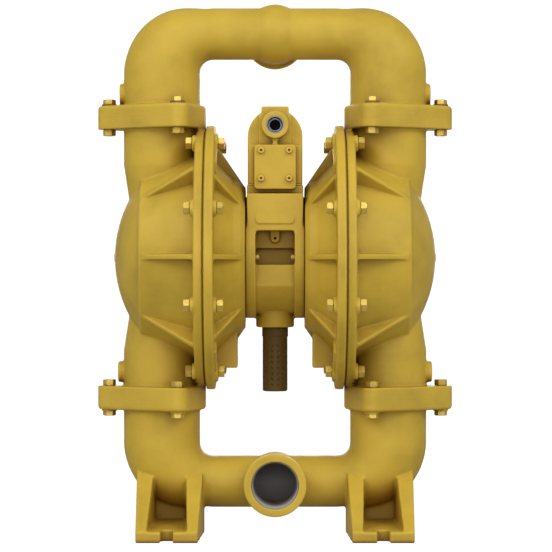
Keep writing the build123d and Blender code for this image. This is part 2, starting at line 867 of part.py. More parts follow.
def valve_body():
    """The air valve casting with its inlet boss in front."""
    crown = valve_crown_rise + valve_half_width
    with BuildPart() as body:
        with BuildSketch(Plane.XZ.offset(-pedestal_half_depth)):
            with BuildLine():
                Polyline((-valve_half_width, valve_crown_rise), (-valve_half_width, valve_base),
                         (valve_half_width, valve_base), (valve_half_width, valve_crown_rise))
                ThreePointArc((valve_half_width, valve_crown_rise), (0, crown),
                              (-valve_half_width, valve_crown_rise))
            make_face()
        extrude(amount=2 * pedestal_half_depth)
        fillet(body.edges().filter_by(GeomType.CIRCLE), valve_crown_round)
        with BuildSketch(Plane.XY.offset(valve_crown_rise)):
            with Locations((0, -(pedestal_half_depth - air_block_depth / 2))):
                Rectangle(2 * air_block_half_width, air_block_depth)
        extrude(amount=air_block_top - valve_crown_rise)
        with BuildSketch(Plane.XY.offset(valve_crown_rise)):
            with Locations((0, -(pedestal_half_depth - top_block_depth / 2))):
                Rectangle(2 * top_block_half_width, top_block_depth)
        extrude(amount=top_block_rise - valve_crown_rise)
        with BuildSketch(facing(-pedestal_half_depth, cap_top + crown, 1)):
            with GridLocations(valve_half_width + air_block_half_width, 0, 2, 1):
                Rectangle(valve_half_width - air_block_half_width, 2 * crown)
        extrude(amount=shoulder_setback, mode=Mode.SUBTRACT)
        with BuildSketch(facing(-air_boss_front, air_port_rise)):
            Circle(air_boss_radius)
        extrude(amount=air_boss_front - pedestal_half_depth + air_block_depth / 2)
        with BuildSketch(facing(-air_web_front, (air_port_rise + cap_top) / 2)):
            Rectangle(2 * rib_half_thickness - 1, air_port_rise - cap_top)
        extrude(amount=air_web_front - pedestal_half_depth + 1)
        with BuildSketch(facing(-air_boss_front, air_port_rise)):
            Circle(air_bore_radius)
        extrude(amount=air_bore_depth, mode=Mode.SUBTRACT)
        with BuildSketch(facing(-air_boss_front, air_port_rise)):
            Circle(air_bore_radius + air_bore_chamfer)
        extrude(amount=air_bore_chamfer, taper=45, mode=Mode.SUBTRACT)
        with BuildSketch(facing(-air_boss_front + air_bore_depth, air_port_rise)):
            Circle(air_bore_radius / 2)
        extrude(amount=air_bore_depth, mode=Mode.SUBTRACT)
        with BuildSketch(facing(-pedestal_half_depth, spool_rise)):
            Circle(sleeve_radius)
        extrude(amount=2 * pedestal_half_depth, mode=Mode.SUBTRACT)
        for end in sides:
            with BuildSketch(facing(end * pedestal_half_depth, spool_rise, end)):
                Circle(sleeve_radius + seal_groove_width)
            extrude(amount=-seal_groove_depth, mode=Mode.SUBTRACT)
            with BuildSketch(facing(end * pedestal_half_depth, spool_rise, end)):
                with GridLocations(cap_screw_spacing, cap_screw_spacing, 2, 2):
                    Circle(cap_screw_radius + thread_gap)
            extrude(amount=-cap_screw_depth, mode=Mode.SUBTRACT)
        with BuildSketch(Plane.XY.offset(valve_base)):
            with GridLocations(2 * body_screw_x, 2 * body_screw_y, 2, 2):
                Circle(body_screw_radius + bolt_hole_gap)
        extrude(amount=body_screw_seat - valve_base, mode=Mode.SUBTRACT)
        with BuildSketch(Plane.XY.offset(body_screw_seat)):
            with GridLocations(2 * body_screw_x, 2 * body_screw_y, 2, 2):
                Circle(body_screw_head_radius + bolt_hole_gap)
        extrude(amount=crown - body_screw_seat, mode=Mode.SUBTRACT)
    return body.part


save("valve_body", valve_body())


def valve_sleeve():
    """The ported sleeve that the main spool slides in."""
    with BuildPart() as sleeve:
        with BuildSketch(facing(-pedestal_half_depth, spool_rise)):
            Circle(sleeve_radius)
            Circle(spool_radius + running_gap, mode=Mode.SUBTRACT)
        extrude(amount=2 * pedestal_half_depth)
        for place in (-2, -1, 0, 1, 2):
            with BuildSketch(facing(place * sleeve_port_pitch - sleeve_port_width / 2, spool_rise)):
                Circle(sleeve_radius)
                Circle(sleeve_radius - sleeve_groove_depth, mode=Mode.SUBTRACT)
            extrude(amount=sleeve_port_width, mode=Mode.SUBTRACT)
            with BuildSketch(Plane.XY.offset(spool_rise - sleeve_radius)):
                with Locations((0, place * sleeve_port_pitch)):
                    Circle(sleeve_port_width / 3)
            extrude(amount=2 * sleeve_radius, mode=Mode.SUBTRACT)
    return sleeve.part


save("valve_sleeve", valve_sleeve())


def main_spool():
    """The air valve's spool: three lands on a thinner stem."""
    with BuildPart() as spool:
        with BuildSketch(facing(-spool_half_length, spool_rise)):
            Circle(spool_stem_radius)
        extrude(amount=2 * spool_half_length)
        for place in (-1, 0, 1):
            middle = place * (spool_half_length - spool_land_length / 2)
            with BuildSketch(facing(middle - spool_land_length / 2, spool_rise)):
                Circle(spool_radius)
            extrude(amount=spool_land_length)
    return spool.part


save("main_spool", main_spool())


def end_cap(end):
    """One end cap of the air valve, with counterbored screws and a raised back edge."""
    start = pedestal_half_depth
    with BuildPart() as cap:
        with BuildSketch(facing(end * start, cap_rise, end)):
            RectangleRounded(cap_width, cap_height, cap_corner)
        extrude(amount=cap_thickness)
        fillet(cap.faces().sort_by(Axis.Y)[0 if end < 0 else -1].edges(), cap_edge_round)
        with BuildSketch(facing(end * start, spool_rise, end)):
            with GridLocations(cap_screw_spacing, cap_screw_spacing, 2, 2):
                Circle(cap_screw_radius + bolt_hole_gap)
        extrude(amount=cap_thickness, mode=Mode.SUBTRACT)
    return cap.part


def cap_screws(end):
    """The four socket screws of one end cap."""
    front = pedestal_half_depth + cap_thickness
    with BuildPart() as screws:
        with BuildSketch(facing(end * front, spool_rise, end)):
            with GridLocations(cap_screw_spacing, cap_screw_spacing, 2, 2):
                Circle(cap_screw_head_radius)
        extrude(amount=cap_screw_head_height)
        with BuildSketch(facing(end * front, spool_rise, end)):
            with GridLocations(cap_screw_spacing, cap_screw_spacing, 2, 2):
                Circle(cap_screw_radius)
        extrude(amount=-cap_thickness - cap_screw_depth)
        with BuildSketch(facing(end * (front + cap_screw_head_height), spool_rise, end)):
            with GridLocations(cap_screw_spacing, cap_screw_spacing, 2, 2):
                RegularPolygon(cap_screw_radius * 0.8, 6)
        extrude(amount=-cap_screw_head_height / 2, mode=Mode.SUBTRACT)
    return screws.part


def cap_seal(end):
    """The round ring that seals one end cap against the valve body."""
    width = seal_groove_width
    middle = pedestal_half_depth - seal_groove_depth / 2
    with BuildPart() as ring:
        with BuildSketch(facing(end * (middle - seal_groove_depth / 2), spool_rise)):
            Circle(sleeve_radius + width)
            Circle(sleeve_radius, mode=Mode.SUBTRACT)
        extrude(amount=end * seal_groove_depth)
    return ring.part


for cap_name, cap_end in (("front", -1), ("rear", 1)):
    save(f"{cap_name}_valve_cap", end_cap(cap_end))
    save(f"{cap_name}_cap_screws", cap_screws(cap_end))
    save(f"{cap_name}_cap_seal", cap_seal(cap_end))


def body_screws():
    """The four long screws that hold the valve body on the center block."""
    with BuildPart() as screws:
        with BuildSketch(Plane.XY.offset(body_screw_seat)):
            with GridLocations(2 * body_screw_x, 2 * body_screw_y, 2, 2):
                Circle(body_screw_head_radius)
        extrude(amount=2 * body_screw_radius)
        with BuildSketch(Plane.XY.offset(pedestal_top - body_screw_depth)):
            with GridLocations(2 * body_screw_x, 2 * body_screw_y, 2, 2):
                Circle(body_screw_radius)
        extrude(amount=body_screw_seat - pedestal_top + body_screw_depth)
        with BuildSketch(Plane.XY.offset(body_screw_seat + 2 * body_screw_radius)):
            with GridLocations(2 * body_screw_x, 2 * body_screw_y, 2, 2):
                RegularPolygon(body_screw_radius * 0.9, 6)
        extrude(amount=-body_screw_radius, mode=Mode.SUBTRACT)
    return screws.part


save("valve_body_screws", body_screws())


def air_inlet_insert():
    """The threaded insert in the air inlet, with a smaller hole through its floor."""
    seat = -air_boss_front + air_bore_depth
    with BuildPart() as insert:
        with BuildSketch(facing(seat, air_port_rise)):
            Circle(air_bore_radius)
        extrude(amount=-insert_length)
        with BuildSketch(facing(seat - insert_floor, air_port_rise)):
            Circle(insert_bore_radius)
        extrude(amount=-insert_length + insert_floor, mode=Mode.SUBTRACT)
        with BuildSketch(facing(seat, air_port_rise)):
            Circle(insert_hole_radius)
        extrude(amount=-insert_floor, mode=Mode.SUBTRACT)
    return insert.part


save("air_inlet_insert", air_inlet_insert())


def muffler():
    """The exhaust muffler: a threaded stub, a band and a hollow tube with slots."""
    top = -collar_drop
    with BuildPart() as tube:
        with BuildSketch(Plane.XY.offset(top)):
            Circle(muffler_radius)
        extrude(amount=-muffler_length)
        fillet(tube.faces().sort_by(Axis.Z)[0].edges(), muffler_end_round)
        with BuildSketch(Plane.XY.offset(top)):
            Circle(muffler_band_radius)
        extrude(amount=-muffler_band_height)
        with BuildSketch(Plane.XY.offset(top)):
            Circle(muffler_stub_radius)
        extrude(amount=muffler_stub_length)
        with BuildSketch(Plane.XY.offset(top + muffler_stub_length)):
            Circle(muffler_radius - muffler_wall)
        extrude(amount=-muffler_stub_length - muffler_length + muffler_wall, mode=Mode.SUBTRACT)
        for row in range(muffler_slot_rows):
            height = top - muffler_slot_start - row * muffler_slot_pitch
            with BuildSketch(Plane.XY.offset(height)):
                with PolarLocations(muffler_radius, muffler_slot_count, start_angle=row % 2 * 22.5):
                    Rectangle(muffler_wall * 3, muffler_slot_width)
            extrude(amount=-muffler_slot_width, mode=Mode.SUBTRACT)
    return tube.part


save("muffler", muffler())


def diaphragm():
    """A rubber disc with a clamped edge, a rolling loop and a flat middle."""
    low = joint_x - diaphragm_thickness / 2
    high = joint_x + diaphragm_thickness / 2
    hole = stud_radius + body_gap
    edge = cavity_radius - diaphragm_thickness
    middle = (diaphragm_loop_inner + edge) / 2
    shift = diaphragm_thickness / 2
    with BuildPart() as sheet:
        with BuildSketch(Plane.XZ):
            with BuildLine():
                Line((high, hole), (high, diaphragm_loop_inner))
                ThreePointArc((high, diaphragm_loop_inner), (high + diaphragm_loop_rise, middle),
                              (high, edge))
                Line((high, edge), (high, bead_radius))
                Line((high, bead_radius), (low, bead_radius))
                Line((low, bead_radius), (low, edge - shift))
                ThreePointArc((low, edge - shift), (low + diaphragm_loop_rise, middle),
                              (low, diaphragm_loop_inner + shift))
                Line((low, diaphragm_loop_inner + shift), (low, hole))
                Line((low, hole), (high, hole))
            make_face()
        revolve(axis=Axis.X)
    return sheet.part


save_pair("diaphragm", diaphragm())


def shaft():
    """The shaft with a threaded stud at each end."""
    with BuildPart() as rod:
        with BuildSketch(across(-inner_plate_back, 0, 0)):
            Circle(shaft_radius)
        extrude(amount=2 * inner_plate_back)
        with BuildSketch(across(-stud_end, 0, 0)):
            Circle(stud_radius)
        extrude(amount=2 * stud_end)
    return rod.part


save("shaft", shaft())


def inner_plate():
    """The air-side plate, with a rounded rim towards the diaphragm."""
    with BuildPart() as plate:
        with BuildSketch(across(inner_plate_back, 0, 0)):
            Circle(plate_radius)
            Circle(stud_radius + running_gap, mode=Mode.SUBTRACT)
        extrude(amount=inner_plate_thickness)
        fillet(plate.edges().filter_by(GeomType.CIRCLE).group_by(SortBy.RADIUS)[-1], plate_rim)
    return plate.part


save_pair("inner_plate", inner_plate())


def outer_plate():
    """The liquid-side plate, domed away from the diaphragm."""
    high = outer_plate_x + outer_plate_thickness
    with BuildPart() as plate:
        with BuildSketch(Plane.XZ):
            with BuildLine():
                Polyline((outer_plate_x, stud_radius + running_gap), (outer_plate_x, plate_radius),
                         (outer_plate_x + plate_rim, plate_radius))
                ThreePointArc((outer_plate_x + plate_rim, plate_radius),
                              (high - plate_rim / 2, plate_radius * 0.55), (high, plate_nut_flats))
                Polyline((high, plate_nut_flats), (high, stud_radius + running_gap),
                         (outer_plate_x, stud_radius + running_gap))
            make_face()
        revolve(axis=Axis.X)
    return plate.part


save_pair("outer_plate", outer_plate())


def plate_nut():
    """The nut that holds both plates and the diaphragm on the stud."""
    with BuildPart() as nut:
        with BuildSketch(across(outer_plate_x + outer_plate_thickness, 0, 0)):
            hexagon(plate_nut_flats)
            Circle(stud_radius + thread_gap, mode=Mode.SUBTRACT)
        extrude(amount=plate_nut_height)
    return nut.part


save_pair("plate_nut", plate_nut())


def bushing():
    """A plain bearing for the shaft, flush with the center block's side."""
    with BuildPart() as ring:
        with BuildSketch(across(hub_face_x - bushing_length, 0, 0)):
            Circle(bushing_radius)
            Circle(shaft_radius + running_gap, mode=Mode.SUBTRACT)
        extrude(amount=bushing_length)
    return ring.part


save("shaft_bushings", both_sides(bushing()))


def shaft_seal():
    """The ring that seals the shaft behind its bushing."""
    with BuildPart() as ring:
        with BuildSketch(across(hub_face_x - bushing_length - shaft_seal_length, 0, 0)):
            Circle(bushing_radius)
            Circle(shaft_radius + running_gap, mode=Mode.SUBTRACT)
        extrude(amount=shaft_seal_length)
    return ring.part


save("shaft_seals", both_sides(shaft_seal()))


def pilot_sleeve():
    """The sleeve through the center block that guides the pilot pin."""
    reach = hub_face_x + chamber_wall
    with BuildPart() as sleeve:
        with BuildSketch(across(-reach, pilot_y, pilot_rise)):
            Circle(pilot_sleeve_radius)
            Circle(pilot_pin_radius + running_gap, mode=Mode.SUBTRACT)
        extrude(amount=2 * reach)
    return sleeve.part


save("pilot_sleeve", pilot_sleeve())


def pilot_pin():
    """The pin that the inner plates push at the end of each stroke."""
    with BuildPart() as pin:
        with BuildSketch(across(-pilot_pin_reach, pilot_y, pilot_rise)):
            Circle(pilot_pin_radius)
        extrude(amount=2 * pilot_pin_reach)
        fillet(pin.edges().filter_by(GeomType.CIRCLE), 1.0)
    return pin.part


save("pilot_pin", pilot_pin())


def center_bolts():
    """The bolts inside one air chamber that hold it to the center block."""
    seat = hub_face_x + chamber_wall
    with BuildPart() as bolts:
        with BuildSketch(across(seat, 0, 0)):
            with PolarLocations(center_bolt_circle, center_bolt_count):
                hexagon(center_bolt_flats)
        extrude(amount=center_bolt_head_height)
        with BuildSketch(across(center_bolt_reach, 0, 0)):
            with PolarLocations(center_bolt_circle, center_bolt_count):
                Circle(center_bolt_radius)
        extrude(amount=seat - center_bolt_reach)
    return bolts.part


save_pair("center_bolts", center_bolts())


def clamp_bolts():
    """The hexagon bolts around one diaphragm joint, heads outboard."""
    head = outer_disc_x + clamp_boss_height
    tail = inner_disc_x - clamp_boss_height - nut_height - bolt_tail
    places = [clamp_point(turn, clamp_bolt_circle) for turn in clamp_places()]
    with BuildPart() as bolts:
        with BuildSketch(across(head, 0, 0)):
            with Locations(*places):
                hexagon(bolt_flats)
        extrude(amount=bolt_head_height)
        with BuildSketch(across(tail, 0, 0)):
            with Locations(*places):
                Circle(bolt_radius)
        extrude(amount=head - tail)
    return bolts.part


def clamp_nuts():
    """The nuts of one diaphragm joint, on the air chamber's side."""
    places = [clamp_point(turn, clamp_bolt_circle) for turn in clamp_places()]
    with BuildPart() as nuts:
        with BuildSketch(across(inner_disc_x - clamp_boss_height, 0, 0, -1)):
            with Locations(*places):
                hexagon(bolt_flats)
                Circle(bolt_radius + thread_gap, mode=Mode.SUBTRACT)
        extrude(amount=nut_height)
    return nuts.part


save_pair("clamp_bolts", clamp_bolts())
save_pair("clamp_nuts", clamp_nuts())


def flange_bolts():
    """The six bolts of the upper flanges, heads above."""
    places = flange_points() + [(-x, y) for x, y in flange_points()]
    high = joint_rise + flange_thickness + washer_thickness
    low = joint_rise - flange_thickness - nut_height - bolt_tail
    with BuildPart() as bolts:
        with BuildSketch(Plane.XY.offset(high)):
            with Locations(*places):
                hexagon(bolt_flats)
        extrude(amount=flange_head_height)
        with BuildSketch(Plane.XY.offset(low)):
            with Locations(*places):
                Circle(bolt_radius)
        extrude(amount=high - low)
    return bolts.part


def flange_washers():
    """The flat washers under the heads of the upper flange bolts."""
    places = flange_points() + [(-x, y) for x, y in flange_points()]
    with BuildPart() as washers:
        with BuildSketch(Plane.XY.offset(joint_rise + flange_thickness)):
            with Locations(*places):
                Circle(washer_radius)
                Circle(bolt_radius + bolt_hole_gap, mode=Mode.SUBTRACT)
        extrude(amount=washer_thickness)
    return washers.part


def flange_nuts():
    """The six nuts of the upper flanges."""
    places = flange_points() + [(-x, y) for x, y in flange_points()]
    with BuildPart() as nuts:
        with BuildSketch(Plane.XY.offset(joint_rise - flange_thickness)):
            with Locations(*places):
                hexagon(bolt_flats)
                Circle(bolt_radius + thread_gap, mode=Mode.SUBTRACT)
        extrude(amount=-nut_height)
    return nuts.part


upper_bolts = flange_bolts()
upper_nuts = flange_nuts()
upper_washers = flange_washers()
save("discharge_bolts", upper_bolts)
save("discharge_nuts", upper_nuts)
save("discharge_washers", upper_washers)
save("inlet_bolts", upper_bolts.rotate(Axis.X, 180))
save("inlet_nuts", upper_nuts.rotate(Axis.X, 180))
save("inlet_washers", upper_washers.rotate(Axis.X, 180))


def ball_seat():
    """The ring that a ball closes on, with a conical lip and a groove for its seal."""
    lip = seat_half_height * 2 - 4.0
    with BuildPart() as seat:
        with BuildSketch(Plane.XZ):
            with BuildLine():
                Polyline((seat_bore_radius, -seat_half_height), (seat_radius, -seat_half_height),
                         (seat_radius, -ring_thickness / 2),
                         (seat_radius - ring_thickness, -ring_thickness / 2),
                         (seat_radius - ring_thickness, ring_thickness / 2),
                         (seat_radius, ring_thickness / 2),
                         (seat_radius, seat_half_height), (seat_edge_radius, seat_half_height),
                         (seat_bore_radius, seat_half_height - lip / 2), close=True)
            make_face()
        revolve(axis=Axis.Z)
    return seat.part


def seat_seal():
    """The round seal in a seat's groove, at the flange joint."""
    with BuildPart() as ring:
        with BuildSketch(Plane.XZ):
            with Locations((seat_radius + body_gap - ring_thickness / 2, 0)):
                Circle(ring_thickness / 2)
        revolve(axis=Axis.Z)
    return ring.part


def at_joints(part, height):
    """A group of two copies of a piece, one at each leg."""
    with BuildPart() as group:
        for side in sides:
            add(part.moved(Location((side * leg_x, 0, height))))
    return group.part


seat_part = ball_seat()
seal_part = seat_seal()
save("discharge_seats", at_joints(seat_part, joint_rise))
save("inlet_seats", at_joints(seat_part, -joint_rise))
save("discharge_seat_seals", at_joints(seal_part, joint_rise))
save("inlet_seat_seals", at_joints(seal_part, -joint_rise))


def ball(height):
    """One rubber ball, resting just above its seat."""
    with BuildPart() as solid:
        with Locations((leg_x, 0, height + ball_rise)):
            Sphere(ball_radius)
    return solid.part


save_pair("discharge_ball", ball(joint_rise))
save_pair("inlet_ball", ball(-joint_rise))
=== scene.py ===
"""Looks for the air operated diaphragm pump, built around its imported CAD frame."""
import json
import math

import bmesh
import bpy
from mathutils import Matrix, Vector, geometry


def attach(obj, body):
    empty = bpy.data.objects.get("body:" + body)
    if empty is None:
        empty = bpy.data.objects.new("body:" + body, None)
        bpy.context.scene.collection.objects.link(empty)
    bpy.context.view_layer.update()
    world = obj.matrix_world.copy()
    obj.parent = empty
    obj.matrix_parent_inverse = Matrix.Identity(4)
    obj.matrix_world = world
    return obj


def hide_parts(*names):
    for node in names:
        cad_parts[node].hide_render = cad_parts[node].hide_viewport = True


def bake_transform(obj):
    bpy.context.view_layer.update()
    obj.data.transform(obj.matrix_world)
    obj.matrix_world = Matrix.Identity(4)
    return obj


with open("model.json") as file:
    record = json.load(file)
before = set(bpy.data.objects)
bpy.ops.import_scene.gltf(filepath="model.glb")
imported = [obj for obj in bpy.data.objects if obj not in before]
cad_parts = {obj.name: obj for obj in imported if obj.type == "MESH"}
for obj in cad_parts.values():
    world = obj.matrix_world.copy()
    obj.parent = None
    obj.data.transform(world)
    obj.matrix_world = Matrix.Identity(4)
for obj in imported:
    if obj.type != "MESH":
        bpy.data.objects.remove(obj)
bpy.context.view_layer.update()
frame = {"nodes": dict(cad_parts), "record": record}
nodes = frame["nodes"]
subparts = frame["record"]["subparts"]

# Camera, worked out from the photograph
PIXEL_SCALE = 0.0013
CAMERA_DISTANCE = 3.3
IMAGE_WIDTH = 552
SENSOR_WIDTH = 36.0
CAMERA_X = 0.0012
CAMERA_HEIGHT = 0.3331
CAMERA_REACH = 100.0

# Shared sizes of the pump, in metres
PUMP_AXIS = 0.357
SIDES = {"left": -1, "right": 1}
JOINT_X = 0.0892
DISC_RADIUS = 0.1660
LEG_X = 0.147
JOINT_RISE = 0.1815
PORT_RISE = 0.2905
PORT_FACE = 0.073

# The discharge end is up with its port at the back, and the inlet end is down with its port in front
ENDS = {"discharge": 1, "inlet": -1}
JOINT_HEIGHTS = {end: PUMP_AXIS + way * JOINT_RISE for end, way in ENDS.items()}
PORT_HEIGHTS = {end: PUMP_AXIS + way * PORT_RISE for end, way in ENDS.items()}


# Short ways to build node trees
def feed(tree, node, inputs):
    """Link or set a node's inputs, given by name or number; a colour is given as three channels."""
    for key, value in inputs.items():
        socket = node.inputs[key]
        if isinstance(value, bpy.types.NodeSocket):
            tree.links.new(value, socket)
        elif socket.type == "RGBA":
            socket.default_value = (*value, 1.0)
        else:
            socket.default_value = value


def add(tree, kind, inputs=None, **settings):
    """A new node with these settings and inputs."""
    node = tree.nodes.new(kind)
    for setting, value in settings.items():
        setattr(node, setting, value)
    feed(tree, node, inputs or {})
    return node


def calculate(tree, operation, *values):
    """The result of a sum, product or other operation on numbers or outputs."""
    return add(tree, "ShaderNodeMath", dict(enumerate(values)), operation=operation).outputs[0]


def new_material(name):
    """A material with its node tree and its shader."""
    material = bpy.data.materials.new(name)
    material.use_nodes = True
    return material, material.node_tree, material.node_tree.nodes["Principled BSDF"]


def level(value):
    """A grey of this brightness."""
    return (value, value, value)


def scaled(colour, share, lift=0.0):
    """A colour made this much brighter or darker."""
    return tuple(min(1.0, channel * share + lift) for channel in colour)


def noise(tree, scale, detail=3.0, roughness=0.55, stretch=None):
    """A noise texture in object coordinates; scale counts features per metre."""
    place = add(tree, "ShaderNodeTexCoord").outputs["Object"]
    if stretch:
        place = add(tree, "ShaderNodeMapping", {"Vector": place, "Scale": stretch}).outputs["Vector"]
    texture = add(tree, "ShaderNodeTexNoise",
                  {"Vector": place, "Scale": scale, "Detail": detail, "Roughness": roughness})
    return texture.outputs["Fac"]


def ramp(tree, source, stops):
    """A colour ramp from a list of (place, colour) stops."""
    band = add(tree, "ShaderNodeValToRGB", {"Fac": source})
    elements = band.color_ramp.elements
    while len(elements) < len(stops):
        elements.new(0.5)
    for element, (place, colour) in zip(elements, stops):
        element.position = place
        element.color = (*colour, 1.0)
    return band.outputs["Color"]


def uneven(tree, scale, detail, low, high, start=0.3):
    """A grey that wanders between two levels, for a surface's roughness."""
    return ramp(tree, noise(tree, scale, detail), [(start, level(low)), (0.7, level(high))])


def bump(tree, height, strength, distance, below=None):
    """A bump from a height, over an earlier bump if one is given."""
    inputs = {"Height": height, "Strength": strength, "Distance": distance}
    if below:
        inputs["Normal"] = below
    return add(tree, "ShaderNodeBump", inputs).outputs["Normal"]


def blend_colour(tree, factor, first, second, kind="MIX"):
    """Two colours mixed by a factor."""
    mixer = add(tree, "ShaderNodeMix", data_type="RGBA", blend_type=kind)
    feed(tree, mixer, {"Factor": factor, "A": first, "B": second})
    return mixer.outputs["Result"]


# Painted shade: corners are painted darker and browner by how much of their surroundings lies within reach
SHADE_SAMPLES = 5
HOLLOW_PAINTED_SHADE = {"reach": 0.052, "dark_at": 0.12, "clear_at": 0.82, "shade_tint": (0.52, 0.41, 0.29)}
CREVICE_PAINTED_SHADE = {"reach": 0.009, "dark_at": 0.22, "clear_at": 0.78, "shade_tint": (0.40, 0.27, 0.17)}


def with_painted_shade(tree, colour):
    """A colour with painted shade, darker and browner in hollows, and more so in narrow corners."""
    for corner in (HOLLOW_PAINTED_SHADE, CREVICE_PAINTED_SHADE):
        # Each pass paints shade: the colour is multiplied by a brown where ambient occlusion finds the
        # surroundings near
        openness = add(tree, "ShaderNodeAmbientOcclusion", {"Distance": corner["reach"]},
                       samples=SHADE_SAMPLES).outputs["AO"]
        shade_tint = ramp(tree, openness, [(corner["dark_at"], corner["shade_tint"]), (corner["clear_at"], level(1.0))])
        colour = blend_colour(tree, 1.0, colour, shade_tint, "MULTIPLY")
    return colour


def bolt_metal(name, base):
    """Yellow plated steel under a thin coat of paint, which mirrors the room dimly, with painted shade in its
    corners.
    """
    material, tree, shader = new_material(name)
    patches = ramp(tree, noise(tree, scale=55.0, detail=4.0), [(0.35, scaled(base, 0.85)), (0.70, base)])
    feed(tree, shader, {
        "Base Color": with_painted_shade(tree, patches),
        "Metallic": 0.45,
        "Roughness": uneven(tree, scale=160.0, detail=4.0, low=0.24, high=0.36),
        "Normal": bump(tree, noise(tree, scale=380.0), strength=0.25, distance=0.0003),
    })
    return material


PORT_PAINT_RADIUS = 0.0303
PORT_BARE_METAL = {"Base Color": (0.22, 0.205, 0.215), "Roughness": 0.6}


def inside_port(tree, end):
    """One inside the bore of this end's port, and nought elsewhere."""
    place = add(tree, "ShaderNodeTexCoord").outputs["Object"]
    across, along, height = add(tree, "ShaderNodeSeparateXYZ", {0: place}).outputs
    depth = calculate(tree, "MULTIPLY", along, ENDS[end])
    rise = calculate(tree, "SUBTRACT", height, PORT_HEIGHTS[end])
    across_square, rise_square, depth_square = (
        calculate(tree, "MULTIPLY", offset, offset) for offset in (across, rise, depth))
    in_bore = calculate(tree, "LESS_THAN", calculate(tree, "ADD", across_square, rise_square),
                        PORT_PAINT_RADIUS ** 2)
    in_pipe = calculate(tree, "LESS_THAN", calculate(tree, "ADD", depth_square, rise_square),
                        PORT_PAINT_RADIUS ** 2)
    in_boss = calculate(tree, "GREATER_THAN", depth, PORT_PAINT_RADIUS)
    return calculate(tree, "MULTIPLY", in_bore, calculate(tree, "MAXIMUM", in_pipe, in_boss))


def bare_port(tree, shader, end):
    """Swap the paint for bare metal inside this end's port."""
    bare = add(tree, "ShaderNodeBsdfPrincipled", PORT_BARE_METAL)
    cover = add(tree, "ShaderNodeMixShader",
                {"Fac": inside_port(tree, end), 1: shader.outputs[0], 2: bare.outputs[0]})
    feed(tree, tree.nodes["Material Output"], {"Surface": cover.outputs[0]})


def cast_paint(name, base, grain=1.0, end=None, edge_wear_and_crease_shade=True):
    """Satin paint over a sand casting, paler at sharp edges from wear, with painted shade in its creases and
    corners, and left off inside the port of an end.
    """
    material, tree, shader = new_material(name)
    deep = scaled(base, 0.80)
    pale = scaled(base, 1.12)
    body = ramp(tree, noise(tree, scale=14.0, detail=4.0), [(0.30, deep), (0.52, base), (0.75, pale)])
    if edge_wear_and_crease_shade:
        pointiness = add(tree, "ShaderNodeNewGeometry").outputs["Pointiness"]
        edges = ramp(tree, pointiness, [(0.50, level(0.0)), (0.56, level(1.0))])
        # Painted shade: creases, found by low pointiness, are painted the darker tone
        painted_crease_shade = ramp(tree, pointiness, [(0.43, level(1.0)), (0.495, level(0.0))])
        body = blend_colour(tree, painted_crease_shade, blend_colour(tree, edges, body, pale), deep)
    waves = bump(tree, noise(tree, scale=60.0, detail=2.0), strength=0.30 * grain, distance=0.0012)
    sand = bump(tree, noise(tree, scale=420.0, detail=4.0, roughness=0.65),
                strength=0.42 * grain, distance=0.00045, below=waves)
    feed(tree, shader, {
        "Base Color": with_painted_shade(tree, body),
        "Roughness": uneven(tree, scale=40.0, detail=5.0, low=0.44, high=0.58, start=0.35),
        "Specular IOR Level": 0.26,
        "Normal": sand,
    })
    if end:
        bare_port(tree, shader, end)
    return material


def machined(name, base, roughness, metallic=1.0, stretch=None):
    """Metal with fine tool marks."""
    material, tree, shader = new_material(name)
    marks = noise(tree, scale=900.0, roughness=0.6, stretch=stretch)
    feed(tree, shader, {
        "Base Color": ramp(tree, marks, [(0.3, scaled(base, 0.82)), (0.7, base)]),
        "Metallic": metallic,
        "Roughness": uneven(tree, scale=130.0, detail=4.0, low=roughness * 0.75, high=roughness * 1.3),
        "Normal": bump(tree, marks, strength=0.15, distance=0.0002),
    })
    return material


def rubber(name, base):
    """Moulded rubber with a faint bloom."""
    material, tree, shader = new_material(name)
    bloom = scaled(base, 1.7, lift=0.01)
    feed(tree, shader, {
        "Base Color": ramp(tree, noise(tree, scale=30.0, detail=4.0), [(0.35, base), (0.75, bloom)]),
        "Roughness": 0.62,
        "Normal": bump(tree, noise(tree, scale=700.0), strength=0.2, distance=0.0002),
    })
    return material


def plastic(name, base, roughness=0.45, shine=0.5):
    """Moulded or turned plastic with light mottling."""
    material, tree, shader = new_material(name)
    deep = scaled(base, 0.88)
    pale = scaled(base, 1.08)
    feed(tree, shader, {
        "Base Color": ramp(tree, noise(tree, scale=25.0, detail=4.0), [(0.3, deep), (0.7, pale)]),
        "Specular IOR Level": shine,
        "Roughness": uneven(tree, scale=90.0, detail=3.0, low=roughness * 0.85, high=roughness * 1.2),
        "Normal": bump(tree, noise(tree, scale=500.0), strength=0.18, distance=0.0002),
    })
    return material


# Paints
YELLOW = (0.60, 0.415, 0.050)
PALE_YELLOW = (0.68, 0.475, 0.085)
PAINT = cast_paint("cast_paint", YELLOW)
PORT_PAINTS = {end: cast_paint(end + "_port_paint", YELLOW, end=end) for end in ENDS}
JOINT_PAINT = cast_paint("joint_paint", YELLOW, edge_wear_and_crease_shade=False)
SCREW_PAINT = cast_paint("screw_paint", PALE_YELLOW, grain=0.35)
BOLT_PAINT = bolt_metal("bolt_paint", (0.76, 0.55, 0.11))
# The washers' dark brown is painted shade, standing for the shade under the discharge flange bolt heads
WASHER_SHADE_PAINT = plastic("washer_painted_shade", (0.20, 0.125, 0.028), 0.6)

# Metals
ZINC = machined("zinc_steel", (0.30, 0.30, 0.33), 0.42, metallic=0.6)
# Dark metal of the inlet's thread, painted near black for the shade deep in its bore
INLET_THREAD_SHADE = machined("inlet_thread_painted_shade", (0.022, 0.026, 0.048), 0.45, metallic=0.2)
